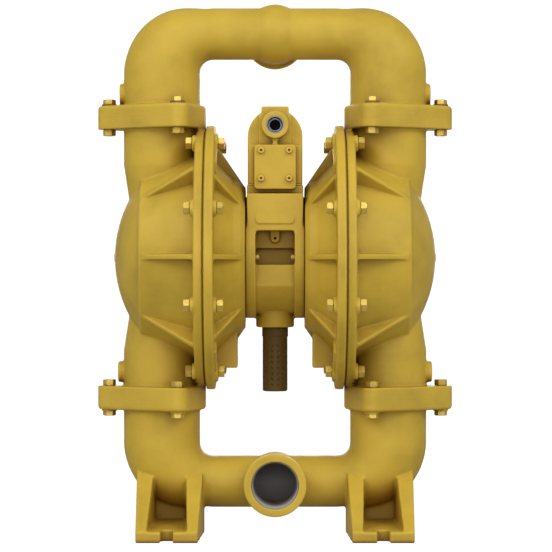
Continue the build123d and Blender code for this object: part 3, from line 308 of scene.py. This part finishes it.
# Pale bare metal of the inlet's floor, lightened further as a painted highlight on the floor's edge
INLET_EDGE_HIGHLIGHT = machined("inlet_edge_painted_highlight", (0.62, 0.63, 0.70), 0.45, metallic=0.3)
THREAD_METAL = machined("bare_thread", (0.44, 0.42, 0.42), 0.5, metallic=0.1)
STEEL = machined("machined_steel", (0.58, 0.58, 0.59), 0.28, stretch=(1.0, 8.0, 8.0))
DARK_STEEL = machined("dark_steel", (0.075, 0.060, 0.045), 0.50)
ALUMINIUM = machined("anodised_aluminium", (0.50, 0.51, 0.54), 0.36)

# Plastics and rubbers, and painted shade for two kinds of hole
BEARING = plastic("bearing_plastic", (0.78, 0.76, 0.70))
SEAT = plastic("seat_plastic", (0.72, 0.70, 0.62), 0.38)
MUFFLER = plastic("muffler_plastic", (0.118, 0.074, 0.018), 0.5, shine=0.2)
BLACK_RUBBER = rubber("black_rubber", (0.018, 0.018, 0.018))
BALL_RUBBER = rubber("ball_rubber", (0.030, 0.030, 0.034))
SHADOW = plastic("deep_shadow", (0.006, 0.006, 0.008), 0.9)
# Key holes are painted brown as the shade inside them
KEY_HOLE_SHADE = plastic("key_hole_painted_shade", (0.34, 0.21, 0.05), 0.8)

SLOT_MATERIALS = {
    "casting_paint": PAINT, "fastener_paint": BOLT_PAINT, "zinc_steel": ZINC, "machined_steel": STEEL,
    "anodised_aluminium": ALUMINIUM, "bearing_plastic": BEARING, "seat_plastic": SEAT,
    "black_rubber": BLACK_RUBBER, "ball_rubber": BALL_RUBBER, "muffler_plastic": MUFFLER,
    "dark_steel": DARK_STEEL,
}


def dress(obj, *materials):
    """Give an object these materials; clearing puts every face on the first, so a new mesh is spared it."""
    if obj.data.materials:
        obj.data.materials.clear()
    for material in materials:
        obj.data.materials.append(material)


# The CAD pieces wear their slot's material, apart from a few
for subpart in subparts:
    dress(nodes[subpart["node"]], SLOT_MATERIALS[subpart["material_slot"]])
for end, paint in PORT_PAINTS.items():
    dress(nodes[end + "_manifold"], paint)
for side_name in SIDES:
    dress(nodes[side_name + "_center_bolts"], BOLT_PAINT)
dress(nodes["valve_gasket"], PAINT)
# The discharge washers wear dark brown as painted shade under the bolt heads
dress(nodes["discharge_washers"], WASHER_SHADE_PAINT)
dress(nodes["inlet_washers"], PAINT)

# Castings get round edges from a fine remesh and some smoothing, given here as (voxel, steps)
CASTINGS = {"manifold": (0.0014, 2), "outer_chamber": (0.0014, 2), "inner_chamber": (0.0012, 2),
            "center_block": (0.0009, 3), "valve_body": (0.0008, 3), "valve_cap": (0.0006, 3)}
WELD_REACH = 0.00002
JOINT_REACH = 0.004


def soften_group():
    """A node group that blurs a mesh's shape, but leaves the flange joints alone."""
    group = bpy.data.node_groups.new("soften", "GeometryNodeTree")
    for name, way, kind in (("Geometry", "INPUT", "NodeSocketGeometry"), ("Steps", "INPUT", "NodeSocketInt"),
                            ("Geometry", "OUTPUT", "NodeSocketGeometry")):
        group.interface.new_socket(name, in_out=way, socket_type=kind)
    source = add(group, "NodeGroupInput")
    place = add(group, "GeometryNodeInputPosition").outputs[0]
    height = add(group, "ShaderNodeSeparateXYZ", {0: place}).outputs["Z"]
    gaps = [calculate(group, "ABSOLUTE", calculate(group, "SUBTRACT", height, joint))
            for joint in JOINT_HEIGHTS.values()]
    freedom = add(group, "ShaderNodeMapRange", {"Value": calculate(group, "MINIMUM", *gaps),
                                                "From Min": JOINT_REACH / 2, "From Max": JOINT_REACH})
    blur = add(group, "GeometryNodeBlurAttribute", data_type="FLOAT_VECTOR")
    feed(group, blur, {"Value": place, "Iterations": source.outputs["Steps"], "Weight": freedom.outputs[0]})
    move = add(group, "GeometryNodeSetPosition",
               {"Geometry": source.outputs["Geometry"], "Position": blur.outputs["Value"]})
    add(group, "NodeGroupOutput", {0: move.outputs[0]})
    return group


def round_casting(casting, voxel, steps, group):
    """Weld, remesh and soften one casting's CAD mesh."""
    weld = casting.modifiers.new("weld", "WELD")
    weld.merge_threshold = WELD_REACH
    remesh = casting.modifiers.new("remesh", "REMESH")
    remesh.mode = "VOXEL"
    remesh.voxel_size = voxel
    remesh.use_smooth_shade = True
    soften = casting.modifiers.new("soften", "NODES")
    soften.node_group = group
    soften[group.interface.items_tree["Steps"].identifier] = steps


soften_nodes = soften_group()
for subpart in subparts:
    for kind, (voxel, steps) in CASTINGS.items():
        if subpart["node"].endswith(kind):
            round_casting(nodes[subpart["node"]], voxel, steps, soften_nodes)


# Short ways to build meshes and pieces
def link(name, mesh, materials, body, replaced=()):
    """Make an object of a mesh, put it on its body, if one is named, and hide the CAD pieces it stands for.
    """
    obj = bpy.data.objects.new(name, mesh)
    bpy.context.scene.collection.objects.link(obj)
    dress(obj, *materials)
    if body:
        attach(obj, body)
    if replaced:
        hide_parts(*replaced)
    return obj


def stack(name, rings, ends="capped", smooth=False, slots=None):
    """A mesh through equal rings of points, with its ends joined, capped or open, and a slot for each row."""
    count = len(rings[0])
    rows = len(rings) if ends == "joined" else len(rings) - 1
    slots = slots or [0] * rows
    faces = []
    kinds = []
    for row in range(rows):
        low = row * count
        high = (row + 1) % len(rings) * count
        for step in range(count):
            after = (step + 1) % count
            faces.append((low + step, low + after, high + after, high + step))
            kinds.append(slots[row])
    if ends == "capped":
        faces.append(tuple(reversed(range(count))))
        faces.append(tuple(range(rows * count, (rows + 1) * count)))
        kinds += [slots[0], slots[-1]]
    mesh = bpy.data.meshes.new(name)
    mesh.from_pydata([tuple(point) for ring in rings for point in ring], [], faces)
    mesh.polygons.foreach_set("use_smooth", [smooth] * len(faces))
    mesh.polygons.foreach_set("material_index", kinds)
    mesh.update()
    return mesh


def stamped(name, base, matrices):
    """Copies of a mesh at each matrix, joined in one mesh."""
    bm = bmesh.new()
    for matrix in matrices:
        start = len(bm.verts)
        bm.from_mesh(base)
        bm.verts.ensure_lookup_table()
        bmesh.ops.transform(bm, matrix=matrix, verts=bm.verts[start:])
    mesh = bpy.data.meshes.new(name)
    bmesh.ops.recalc_face_normals(bm, faces=bm.faces)
    bm.to_mesh(mesh)
    bm.free()
    return mesh


def pointing(location, axis, turn=0.0):
    """A matrix that carries local Z to an axis at a place, turned about it."""
    aim = Vector(axis).to_track_quat("Z", "Y").to_matrix().to_4x4()
    return Matrix.Translation(Vector(location)) @ aim @ Matrix.Rotation(turn, 4, "Z")


EDGE_SEGMENTS = 2
EDGE_ANGLE = 32.0


def round_edges(obj, width, degrees=EDGE_ANGLE):
    """Small round edges wherever two faces meet sharply."""
    bevel = obj.modifiers.new("round_edges", "BEVEL")
    bevel.width = width
    bevel.segments = EDGE_SEGMENTS
    bevel.limit_method = "ANGLE"
    bevel.angle_limit = math.radians(degrees)


def even_turns(count):
    """The angles of this many equal steps round a circle."""
    return [2 * math.pi * step / count for step in range(count)]


def polar(radius, turn):
    """The flat point at a radius and angle."""
    return radius * math.cos(turn), radius * math.sin(turn)


def about_axis(x, radius, turn):
    """The point this far along the pump's axis, at a radius and angle about it."""
    y, rise = polar(radius, turn)
    return x, y, PUMP_AXIS + rise


RING_TURNS = even_turns(36)
OUTLINE_TURNS = even_turns(180)


def circle(radius, height):
    """A ring of points about Z."""
    return [(*polar(radius, turn), height) for turn in RING_TURNS]


# Hexagon shapes: the chamfer starts just inside the flats, and cuts down the corners by its slope
SIXTH_TURN = math.radians(60.0)
CHAMFER_SHARE = 0.96
CHAMFER_SLOPE = 0.58


def hexagon(flats, height, slope=0.0):
    """A hexagon ring about Z, with a corner at angle nought, whose corners are cut down by a slope."""
    points = []
    for turn in RING_TURNS:
        radius = flats / 2 / math.cos(turn % SIXTH_TURN - SIXTH_TURN / 2)
        drop = slope * (radius - flats / 2 * CHAMFER_SHARE)
        points.append((*polar(radius, turn), height - drop))
    return points


# Bolts and nuts, whose corners are each turned a little as a spanner leaves them
BOLT_FLATS = 0.0146
BOLT_SHANK = 0.00476
BOLT_TIP = 0.0008
BOLT_EDGE = 0.0004
FACE_SHARE = 0.97
FACE_STEP = 0.0003
CROWN_SHARE = 0.80
NUT_HEIGHT = 0.0082
NUT_HOLE = BOLT_SHANK + 0.0002
NUT_LEAD = 0.0006
SLACK_TURNS = (0.0, 4.0, -3.0, 2.0, -2.0, 5.0, -4.0, 3.0)


def hex_bolt(head, reach):
    """A bolt along Z with its head above nought and its end at -reach."""
    half = BOLT_FLATS / 2
    return stack("bolt", [
        circle(BOLT_SHANK - BOLT_TIP, -reach), circle(BOLT_SHANK, -reach + BOLT_TIP), circle(BOLT_SHANK, 0.0),
        circle(half * FACE_SHARE, 0.0), circle(half * FACE_SHARE, FACE_STEP), hexagon(BOLT_FLATS, FACE_STEP),
        hexagon(BOLT_FLATS, head, CHAMFER_SLOPE), circle(half * CHAMFER_SHARE, head),
        circle(half * CROWN_SHARE, head)])


def hex_nut():
    """A nut from nought up, chamfered above and below."""
    half = BOLT_FLATS / 2
    return stack("nut", [
        circle(NUT_HOLE, 0.0), circle(half * FACE_SHARE, 0.0), hexagon(BOLT_FLATS, 0.0, -CHAMFER_SLOPE),
        hexagon(BOLT_FLATS, NUT_HEIGHT, CHAMFER_SLOPE), circle(half * CHAMFER_SHARE, NUT_HEIGHT),
        circle(NUT_HOLE + NUT_LEAD, NUT_HEIGHT), circle(NUT_HOLE, NUT_HEIGHT - NUT_LEAD)], ends="joined")


def slack(number):
    """A small turn for the fastener of this number."""
    return math.radians(SLACK_TURNS[number % len(SLACK_TURNS)])


def fastener_set(name, base, places, replaced):
    """Copies of a bolt or nut, which stand for one CAD piece."""
    piece = link(name, stamped(name, base, places), [BOLT_PAINT], "housing", [replaced])
    round_edges(piece, BOLT_EDGE)


# Clamp bolts and nuts, round the rim where each inner and outer chamber meet
CLAMP_COUNT = 8
CLAMP_CIRCLE = 0.1575
CLAMP_HEAD = 0.0079
CLAMP_HEAD_X = 0.1063
CLAMP_NUT_X = 0.0727
CLAMP_END_X = 0.0642
CLAMP_NUT_LAG = 3
clamp_bolt = hex_bolt(CLAMP_HEAD, CLAMP_HEAD_X - CLAMP_END_X)
nut = hex_nut()
for side_name, side in SIDES.items():
    bolt_places = []
    nut_places = []
    for number in range(CLAMP_COUNT):
        turn = 2 * math.pi * (number + 0.5) / CLAMP_COUNT
        bolt_spot = about_axis(side * CLAMP_HEAD_X, CLAMP_CIRCLE, turn)
        nut_spot = about_axis(side * CLAMP_NUT_X, CLAMP_CIRCLE, turn)
        bolt_places.append(pointing(bolt_spot, (side, 0, 0), slack(number)))
        nut_places.append(pointing(nut_spot, (-side, 0, 0), slack(number + CLAMP_NUT_LAG)))
    fastener_set(side_name + "_clamp_bolt_set", clamp_bolt, bolt_places, side_name + "_clamp_bolts")
    fastener_set(side_name + "_clamp_nut_set", nut, nut_places, side_name + "_clamp_nuts")

# Flange bolts and nuts, three round each leg, at heights from the pump's axis
FLANGE_CIRCLE = 0.0683
FLANGE_TURNS = [math.radians(degrees) for degrees in (0.0, 109.6, -109.6)]
FLANGE_SPOTS = [polar(FLANGE_CIRCLE, turn) for turn in FLANGE_TURNS]
FLANGE_HEAD = 0.0062
FLANGE_HEAD_RISE = 0.1989
FLANGE_NUT_RISE = 0.1661
FLANGE_END_RISE = 0.1576
FLANGE_NUT_TURN = 0.2
flange_bolt = hex_bolt(FLANGE_HEAD, FLANGE_HEAD_RISE - FLANGE_END_RISE)
for end, up in ENDS.items():
    bolt_places = []
    nut_places = []
    for side in SIDES.values():
        for number, (out, y) in enumerate(FLANGE_SPOTS):
            x = side * (LEG_X + out)
            turn = slack(number + 2 * side)
            bolt_places.append(pointing((x, y, PUMP_AXIS + up * FLANGE_HEAD_RISE), (0, 0, up), turn))
            nut_places.append(pointing((x, y, PUMP_AXIS + up * FLANGE_NUT_RISE), (0, 0, -up),
                                       turn + FLANGE_NUT_TURN))
    fastener_set(end + "_bolt_set", flange_bolt, bolt_places, end + "_bolts")
    fastener_set(end + "_nut_set", nut, nut_places, end + "_nuts")

# Each pair of flanges is painted over its joint, in a band that is thickest at the joint and tapers away
FLANGE_RING = 0.0572
FLANGE_CORNER = 0.0146
BAND_ROOT = 0.004
JOINT_INSET = 0.00012
JOINT_SWELL = 0.00004
JOINT_HALF = 0.0050
JOINT_CREST = 0.0010
TIP_SPARE = 0.00001
FLANGE_TIP = FLANGE_CIRCLE + FLANGE_CORNER - TIP_SPARE
FLANGE_BAND = [(-JOINT_HALF, -BAND_ROOT), (-JOINT_HALF, -JOINT_INSET), (-JOINT_CREST, JOINT_SWELL),
               (JOINT_CREST, JOINT_SWELL), (JOINT_HALF, -JOINT_INSET), (JOINT_HALF, -BAND_ROOT)]


def flange_outline():
    """A flange's outline about its leg, as a loop of points with the way out at each."""
    arcs = [(0.0, 0.0, FLANGE_RING)] + [(x, y, FLANGE_CORNER) for x, y in FLANGE_SPOTS]
    dots = []
    ways = []
    for turn in OUTLINE_TURNS:
        way = Vector(polar(1.0, turn))
        for x, y, radius in arcs:
            dots.append(Vector((x, y)) + radius * way)
            ways.append(way)
    return [(dots[index], ways[index]) for index in geometry.convex_hull_2d(dots)]


def joint_band(side, height, outline):
    """The paint over one flange joint, kept just inside the flange's tip."""
    return stack("joint_paint", [
        [(side * (LEG_X + min(FLANGE_TIP, dot.x + swell * way.x)), dot.y + swell * way.y, height + shift)
         for dot, way in outline] for shift, swell in FLANGE_BAND], ends="joined")


flange_loop = flange_outline()
for end, height in JOINT_HEIGHTS.items():
    for side_name, side in SIDES.items():
        link(f"{side_name}_{end}_joint_paint", joint_band(side, height, flange_loop), [JOINT_PAINT],
             "housing")

# The clamp joints are painted over too, a little below the rims
CLAMP_PAINT_DEPTH = 0.0016
CLAMP_PAINT_HALF = 0.0026
CLAMP_BAND = [(-CLAMP_PAINT_HALF, BAND_ROOT), (-CLAMP_PAINT_HALF, CLAMP_PAINT_DEPTH),
              (CLAMP_PAINT_HALF, CLAMP_PAINT_DEPTH), (CLAMP_PAINT_HALF, BAND_ROOT)]
for side_name, side in SIDES.items():
    rings = [[about_axis(side * (JOINT_X + shift), DISC_RADIUS - depth, turn) for turn in OUTLINE_TURNS]
             for shift, depth in CLAMP_BAND]
    link(side_name + "_clamp_joint_paint", stack("clamp_paint", rings, ends="joined"), [JOINT_PAINT],
         "housing")

# Socket screws of the end caps, each with its key hole turned its own way
CAP_FACE = 0.062
CAP_MIDDLE = 0.4757
CAP_SPREAD = 0.0179
CAP_ENDS = {"front": -1, "rear": 1}
SCREW_RADIUS = 0.0039
SCREW_HEAD = 0.0046
SCREW_SHANK = 0.0024
SCREW_REACH = 0.0220
SCREW_TIP = 0.0004
SCREW_ROUND = 0.0006
KEY_FLATS = 0.0034
KEY_LEAD = 0.0005
KEY_LEAD_DEPTH = 0.0003
KEY_FLOOR = SCREW_HEAD * 0.42
KEY_TURN_X = 0.3
KEY_TURN_Z = 0.9


def socket_screw():
    """A socket head screw along Z, whose key hole and its floor take the second material, a brown painted
    shade.
    """
    rings = [circle(SCREW_SHANK - SCREW_TIP, -SCREW_REACH), circle(SCREW_SHANK, -SCREW_REACH + SCREW_TIP),
             circle(SCREW_SHANK, 0.0), circle(SCREW_RADIUS, 0.0),
             circle(SCREW_RADIUS, SCREW_HEAD - SCREW_ROUND), circle(SCREW_RADIUS - SCREW_ROUND, SCREW_HEAD),
             hexagon(KEY_FLATS + KEY_LEAD, SCREW_HEAD), hexagon(KEY_FLATS, SCREW_HEAD - KEY_LEAD_DEPTH),
             hexagon(KEY_FLATS, KEY_FLOOR)]
    return stack("socket_screw", rings, slots=[0] * 7 + [1])


cap_screw = socket_screw()
for end_name, end in CAP_ENDS.items():
    places = [pointing((x * CAP_SPREAD, end * CAP_FACE, CAP_MIDDLE + z * CAP_SPREAD), (0, end, 0),
                       KEY_TURN_X * x + KEY_TURN_Z * z) for x in (-1, 1) for z in (-1, 1)]
    link(end_name + "_cap_screw_set", stamped("cap_screws", cap_screw, places), [SCREW_PAINT, KEY_HOLE_SHADE],
         "housing", [end_name + "_cap_screws"])

# Threads, whose ridge is a wave with its foot and its top cut flat
THREAD_ROWS = 8
THREAD_SLOPE = 1.3
THREAD_FLAT = 0.15


def thread(root, crest, pitch, length, steps):
    """A helical thread on the inside of a bore, from its mouth at nought down to -length."""
    rows = int(length / pitch * THREAD_ROWS)
    rings = []
    for row in range(rows + 1):
        depth = length * row / rows
        fade = min(1.0, depth / pitch)
        ring = []
        for step, turn in enumerate(even_turns(steps)):
            wave = abs((depth / pitch + step / steps) % 1.0 - 0.5) * 2
            ridge = min(1.0, max(0.0, wave * THREAD_SLOPE - THREAD_FLAT))
            ring.append((*polar(root - (root - crest) * fade * ridge, turn), -depth))
        rings.append(ring)
    return stack("thread", rings, ends="open")


# Port threads, a hair inside each mouth
PORT_THREAD = {"root": 0.0296, "crest": 0.0286, "pitch": 0.0022, "length": 0.0305, "steps": 96}
PORT_THREAD_INSET = 0.0008
for end, way in ENDS.items():
    mouth = pointing((0, way * (PORT_FACE - PORT_THREAD_INSET), PORT_HEIGHTS[end]), (0, way, 0))
    link(end + "_port_thread", stamped("port_thread", thread(**PORT_THREAD), [mouth]), [THREAD_METAL],
         "housing")

# The air inlet's insert, as (radius, height, material) rings: a bare ring, a thread's bore painted near black
# as its shade, a floor whose edge is painted pale as a highlight, and the smaller hole painted as deep shadow
AIR_HEIGHT = 0.526
AIR_FACE = 0.0654
AIR_THREAD = {"root": 0.0091, "crest": 0.0086, "pitch": 0.0018, "length": 0.0098, "steps": 64}
INSERT_RINGS = [
    (0.0018, -0.0210, SHADOW), (0.0106, -0.0210, ZINC), (0.0106, -0.0004, ZINC), (0.0114, 0.0003, ZINC),
    (0.0113, 0.0005, ZINC), (0.0098, 0.0003, INLET_THREAD_SHADE), (0.0093, -0.0008, INLET_THREAD_SHADE),
    (0.0088, -0.0030, INLET_THREAD_SHADE), (0.0087, -0.0100, INLET_EDGE_HIGHLIGHT), (0.0083, -0.0104, INLET_EDGE_HIGHLIGHT),
    (0.0075, -0.0104, INLET_EDGE_HIGHLIGHT), (0.0070, -0.0110, SHADOW), (0.0068, -0.0190, SHADOW),
    (0.0018, -0.0192, SHADOW),
]
insert_materials = [ZINC, INLET_THREAD_SHADE, INLET_EDGE_HIGHLIGHT, SHADOW]
insert = stack("insert", [circle(radius, height) for radius, height, _ in INSERT_RINGS], ends="joined",
               slots=[insert_materials.index(material) for *_, material in INSERT_RINGS])
mouth = pointing((0, -AIR_FACE, AIR_HEIGHT), (0, -1, 0))
link("air_inlet_ring", stamped("air_inlet_ring", insert, [mouth]), insert_materials,
     "housing", ["air_inlet_insert"])
link("air_inlet_thread", stamped("air_thread", thread(**AIR_THREAD), [mouth]), [INLET_THREAD_SHADE],
     "housing")

# The web under the air inlet's boss flares where it meets the boss and the end cap; its side is (x, z)
WEB_FRONT = -0.0601
WEB_BACK = -0.0460
WEB_EDGE = 0.0006
WEB_EDGE_ANGLE = 50.0
WEB_SIDE = [(0.0041, 0.4990), (0.0041, 0.5006), (0.0033, 0.5015), (0.0029, 0.5028), (0.0029, 0.5048),
            (0.0032, 0.5062), (0.0039, 0.5074), (0.0050, 0.5085), (0.0064, 0.5096), (0.0084, 0.5110),
            (0.0060, 0.5150)]
web_loop = WEB_SIDE + [(-x, z) for x, z in reversed(WEB_SIDE)]
web_mesh = stack("web", [[(x, y, z) for x, z in web_loop] for y in (WEB_BACK, WEB_FRONT)])
web = link("air_boss_web", web_mesh, [JOINT_PAINT], "housing")
round_edges(web, WEB_EDGE, WEB_EDGE_ANGLE)

# Muffler, with a stub, a band, a tube with shallow holes sunk in straight columns, and a dished end
MUFFLER_TOP = 0.2666
MUFFLER_LENGTH = 0.083
MUFFLER_RADIUS = 0.0161
MUFFLER_ROUND = 0.0022
MUFFLER_STEPS = 192
TUBE_ROWS = 150
STUB_RADIUS = 0.013
STUB_HEIGHT = 0.0155
STUB_CHAMFER = 0.001
BAND_RADIUS = 0.0169
BAND_HEIGHT = 0.012
BAND_ROUND = 0.0006
BAND_TOP_INSET = 0.0005
BAND_TOP_STEP = 0.0001
BAND_FOOT_INSET = 0.0004
BAND_FOOT_STEP = 0.0002
DISH_DEPTH = 0.0012
DISH_SHARES = (0.62, 0.58, 0.2)
HOLE_COLUMNS = 12
HOLE_ROWS = 8
HOLE_PITCH = 0.0072
HOLE_START = 0.0240
HOLE_RADIUS = 0.0017
HOLE_DEPTH = 0.0016
HOLE_EDGE = 0.0006
HOLE_BAND_GAP = 0.002
HOLE_END_GAP = 0.004


def hole_sink(turn, depth):
    """How far the tube is sunk at this share of a turn and this depth, in the nearest hole."""
    if not BAND_HEIGHT + HOLE_BAND_GAP < depth < MUFFLER_LENGTH - HOLE_END_GAP:
        return 0.0
    row = min(HOLE_ROWS - 1, max(0, round((depth - HOLE_START) / HOLE_PITCH)))
    column = turn * HOLE_COLUMNS + 0.5
    rise = depth - HOLE_START - row * HOLE_PITCH
    run = (column - round(column)) / HOLE_COLUMNS * 2 * math.pi * MUFFLER_RADIUS
    return HOLE_DEPTH * min(1.0, max(0.0, (HOLE_RADIUS - math.hypot(rise, run)) / HOLE_EDGE))


def muffler_profile():
    """The muffler's outline from the top down, as (radius, depth)."""
    low = MUFFLER_LENGTH - MUFFLER_ROUND
    profile = [(STUB_RADIUS - STUB_CHAMFER, -STUB_HEIGHT), (STUB_RADIUS, -STUB_HEIGHT + STUB_CHAMFER),
               (STUB_RADIUS, 0.0), (BAND_RADIUS - BAND_TOP_INSET, BAND_TOP_STEP), (BAND_RADIUS, BAND_ROUND),
               (BAND_RADIUS, BAND_HEIGHT - BAND_ROUND), (BAND_RADIUS - BAND_FOOT_INSET, BAND_HEIGHT),
               (MUFFLER_RADIUS, BAND_HEIGHT + BAND_FOOT_STEP)]
    for row in range(1, TUBE_ROWS + 1):
        profile.append((MUFFLER_RADIUS, BAND_HEIGHT + (low - BAND_HEIGHT) * row / TUBE_ROWS))
    for degrees in (22.5, 45.0, 67.5, 90.0):
        out, down = polar(MUFFLER_ROUND, math.radians(degrees))
        profile.append((MUFFLER_RADIUS - MUFFLER_ROUND + out, low + down))
    for share, depth in zip(DISH_SHARES, (0.0, DISH_DEPTH, DISH_DEPTH)):
        profile.append((MUFFLER_RADIUS * share, MUFFLER_LENGTH - depth))
    return profile


def muffler_mesh():
    """The profile turned about the muffler's own axis, with its holes."""
    rings = []
    for radius, depth in muffler_profile():
        ring = []
        for step, turn in enumerate(even_turns(MUFFLER_STEPS)):
            wide = radius - hole_sink(step / MUFFLER_STEPS, depth)
            ring.append((*polar(wide, turn), MUFFLER_TOP - depth))
        rings.append(ring)
    return stack("muffler_tube", rings, smooth=True)


link("muffler_tube", muffler_mesh(), [MUFFLER], "housing", ["muffler"])

# Diaphragms, in sectors that each run from the clamped edge to the plates, with a rolling loop between
SECTORS = 12
SECTOR_STEPS = 5
LOOP_START = 0.080
LOOP_STOP = 0.126
LOOP_RISE = 0.0098
SHEET_HALF = 0.00196
SHEET_HOLE = 0.0083
SHEET_BEAD = 0.1478
PLATE_RADII = (0.030, 0.055, 0.074)
LOOP_FIRST = 0.078
LOOP_SPACING = 0.002
LOOP_RINGS = 26
RIM_RADIUS = 0.135
LOOP_RADII = [LOOP_FIRST + LOOP_SPACING * ring for ring in range(LOOP_RINGS)]
SHEET_RADII = [SHEET_HOLE, *PLATE_RADII, *LOOP_RADII, RIM_RADIUS, SHEET_BEAD]


def diaphragm_rise(radius):
    """How far the rolling loop stands out at this radius."""
    share = min(1.0, max(0.0, (radius - LOOP_START) / (LOOP_STOP - LOOP_START)))
    return LOOP_RISE * math.sin(math.pi * share)


def diaphragm_sector(side, number):
    """One sector of a diaphragm, with both faces and its two rims."""
    rings = []
    for step in range(SECTOR_STEPS + 1):
        turn = 2 * math.pi * (number + step / SECTOR_STEPS) / SECTORS
        outer, inner = ([about_axis(side * (JOINT_X + diaphragm_rise(radius) + half), radius, turn)
                         for radius in SHEET_RADII] for half in (SHEET_HALF, -SHEET_HALF))
        rings.append(outer + inner[::-1])
    return stack("diaphragm_sector", rings, smooth=True)


for side_name, side in SIDES.items():
    for number in range(SECTORS):
        sector = link(f"{side_name}_diaphragm_sector_{number + 1}", diaphragm_sector(side, number),
                      [BLACK_RUBBER], None, [side_name + "_diaphragm"])
        turn = 2 * math.pi * (number + 0.5) / SECTORS
        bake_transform(sector)

# Camera
camera_data = bpy.data.cameras.new("camera")
camera_data.sensor_width = SENSOR_WIDTH
camera_data.lens = SENSOR_WIDTH * CAMERA_DISTANCE / (PIXEL_SCALE * IMAGE_WIDTH)
camera_data.clip_end = CAMERA_REACH
camera = bpy.data.objects.new("camera", camera_data)
bpy.context.scene.collection.objects.link(camera)
camera.location = (CAMERA_X, -CAMERA_DISTANCE, CAMERA_HEIGHT)
camera.rotation_euler = (math.radians(90.0), 0.0, 0.0)
bpy.context.scene.camera = camera
bpy.context.scene.view_settings.view_transform = "Standard"

# Soft lamps, as (place, size, power), all aimed at the pump's middle
LAMP_TARGET = Vector((0.0, 0.0, 0.34))
LAMPS = {
    "front": ((0.0, -3.4, 0.5), (1.6, 1.0), 13.0),
    "high": ((0.0, -1.7, 2.9), (1.0, 0.5), 6.0),
    "left_high": ((-1.9, -1.9, 2.4), (1.2, 1.2), 25.5),
    "right_high": ((1.9, -1.9, 2.4), (1.2, 1.2), 25.5),
    "left_side": ((-3.1, -1.2, 0.6), (1.4, 1.4), 6.5),
    "right_side": ((3.1, -1.2, 0.6), (1.4, 1.4), 6.5),
    "back": ((0.0, 3.4, 0.9), (2.2, 1.4), 46.0),
}
for name, (place, size, power) in LAMPS.items():
    lamp = bpy.data.lights.new(name, "AREA")
    lamp.shape = "RECTANGLE"
    lamp.size, lamp.size_y = size
    lamp.energy = power
    lamp_object = bpy.data.objects.new(name, lamp)
    bpy.context.scene.collection.objects.link(lamp_object)
    lamp_object.location = place
    lamp_object.rotation_euler = (LAMP_TARGET - Vector(place)).to_track_quat("-Z", "Y").to_euler()


def seen_by_camera(tree):
    """One for rays straight from the camera."""
    return add(tree, "ShaderNodeLightPath").outputs["Is Camera Ray"]


# A warm sky that is brightest in front and behind, and plain white to the camera
SKY_COLOUR = (1.0, 0.96, 0.88)
SKY_EVEN = 0.048
SKY_FRONT = 1.02
SKY_BACK = 0.55
WHITE_STRENGTH = 1.1
world = bpy.data.worlds.new("studio")
bpy.context.scene.world = world
world.use_nodes = True
sky_tree = world.node_tree
direction = add(sky_tree, "ShaderNodeTexCoord").outputs["Generated"]
backward = add(sky_tree, "ShaderNodeSeparateXYZ", {0: direction}).outputs["Y"]
sky_front = calculate(sky_tree, "MULTIPLY", calculate(sky_tree, "MINIMUM", backward, 0.0), -SKY_FRONT)
sky_back = calculate(sky_tree, "MULTIPLY", calculate(sky_tree, "MAXIMUM", backward, 0.0), SKY_BACK)
sky_strength = calculate(sky_tree, "ADD", calculate(sky_tree, "ADD", sky_front, sky_back), SKY_EVEN)
sky = sky_tree.nodes["Background"]
feed(sky_tree, sky, {"Color": SKY_COLOUR, "Strength": sky_strength})
white = add(sky_tree, "ShaderNodeBackground", {"Color": level(1.0), "Strength": WHITE_STRENGTH})
sky_or_white = add(sky_tree, "ShaderNodeMixShader",
                   {"Fac": seen_by_camera(sky_tree), 1: sky.outputs[0], 2: white.outputs[0]})
feed(sky_tree, sky_tree.nodes["World Output"], {"Surface": sky_or_white.outputs[0]})

# Floor paper, which the camera sees as nearly all white with a faint shadow
FLOOR_HALF = 12.0
PAPER = {"Base Color": (0.20, 0.19, 0.17), "Roughness": 0.9, "Specular IOR Level": 0.0,
         "Emission Color": (1.0, 0.95, 0.85), "Emission Strength": 0.19}
PAPER_WHITE_STRENGTH = 1.12
PAPER_WHITE_SHARE = 0.93
floor_mesh = bpy.data.meshes.new("floor")
floor_mesh.from_pydata([(x * FLOOR_HALF, y * FLOOR_HALF, 0) for x, y in ((-1, -1), (1, -1), (1, 1), (-1, 1))],
                       [], [(0, 1, 2, 3)])
floor = bpy.data.objects.new("floor", floor_mesh)
bpy.context.scene.collection.objects.link(floor)
floor_material, floor_tree, paper = new_material("floor_paper")
feed(floor_tree, paper, PAPER)
glow = add(floor_tree, "ShaderNodeEmission", {"Strength": PAPER_WHITE_STRENGTH})
white_share = calculate(floor_tree, "MULTIPLY", seen_by_camera(floor_tree), PAPER_WHITE_SHARE)
paper_or_white = add(floor_tree, "ShaderNodeMixShader",
                     {"Fac": white_share, 1: paper.outputs[0], 2: glow.outputs[0]})
feed(floor_tree, floor_tree.nodes["Material Output"], {"Surface": paper_or_white.outputs[0]})
dress(floor, floor_material)
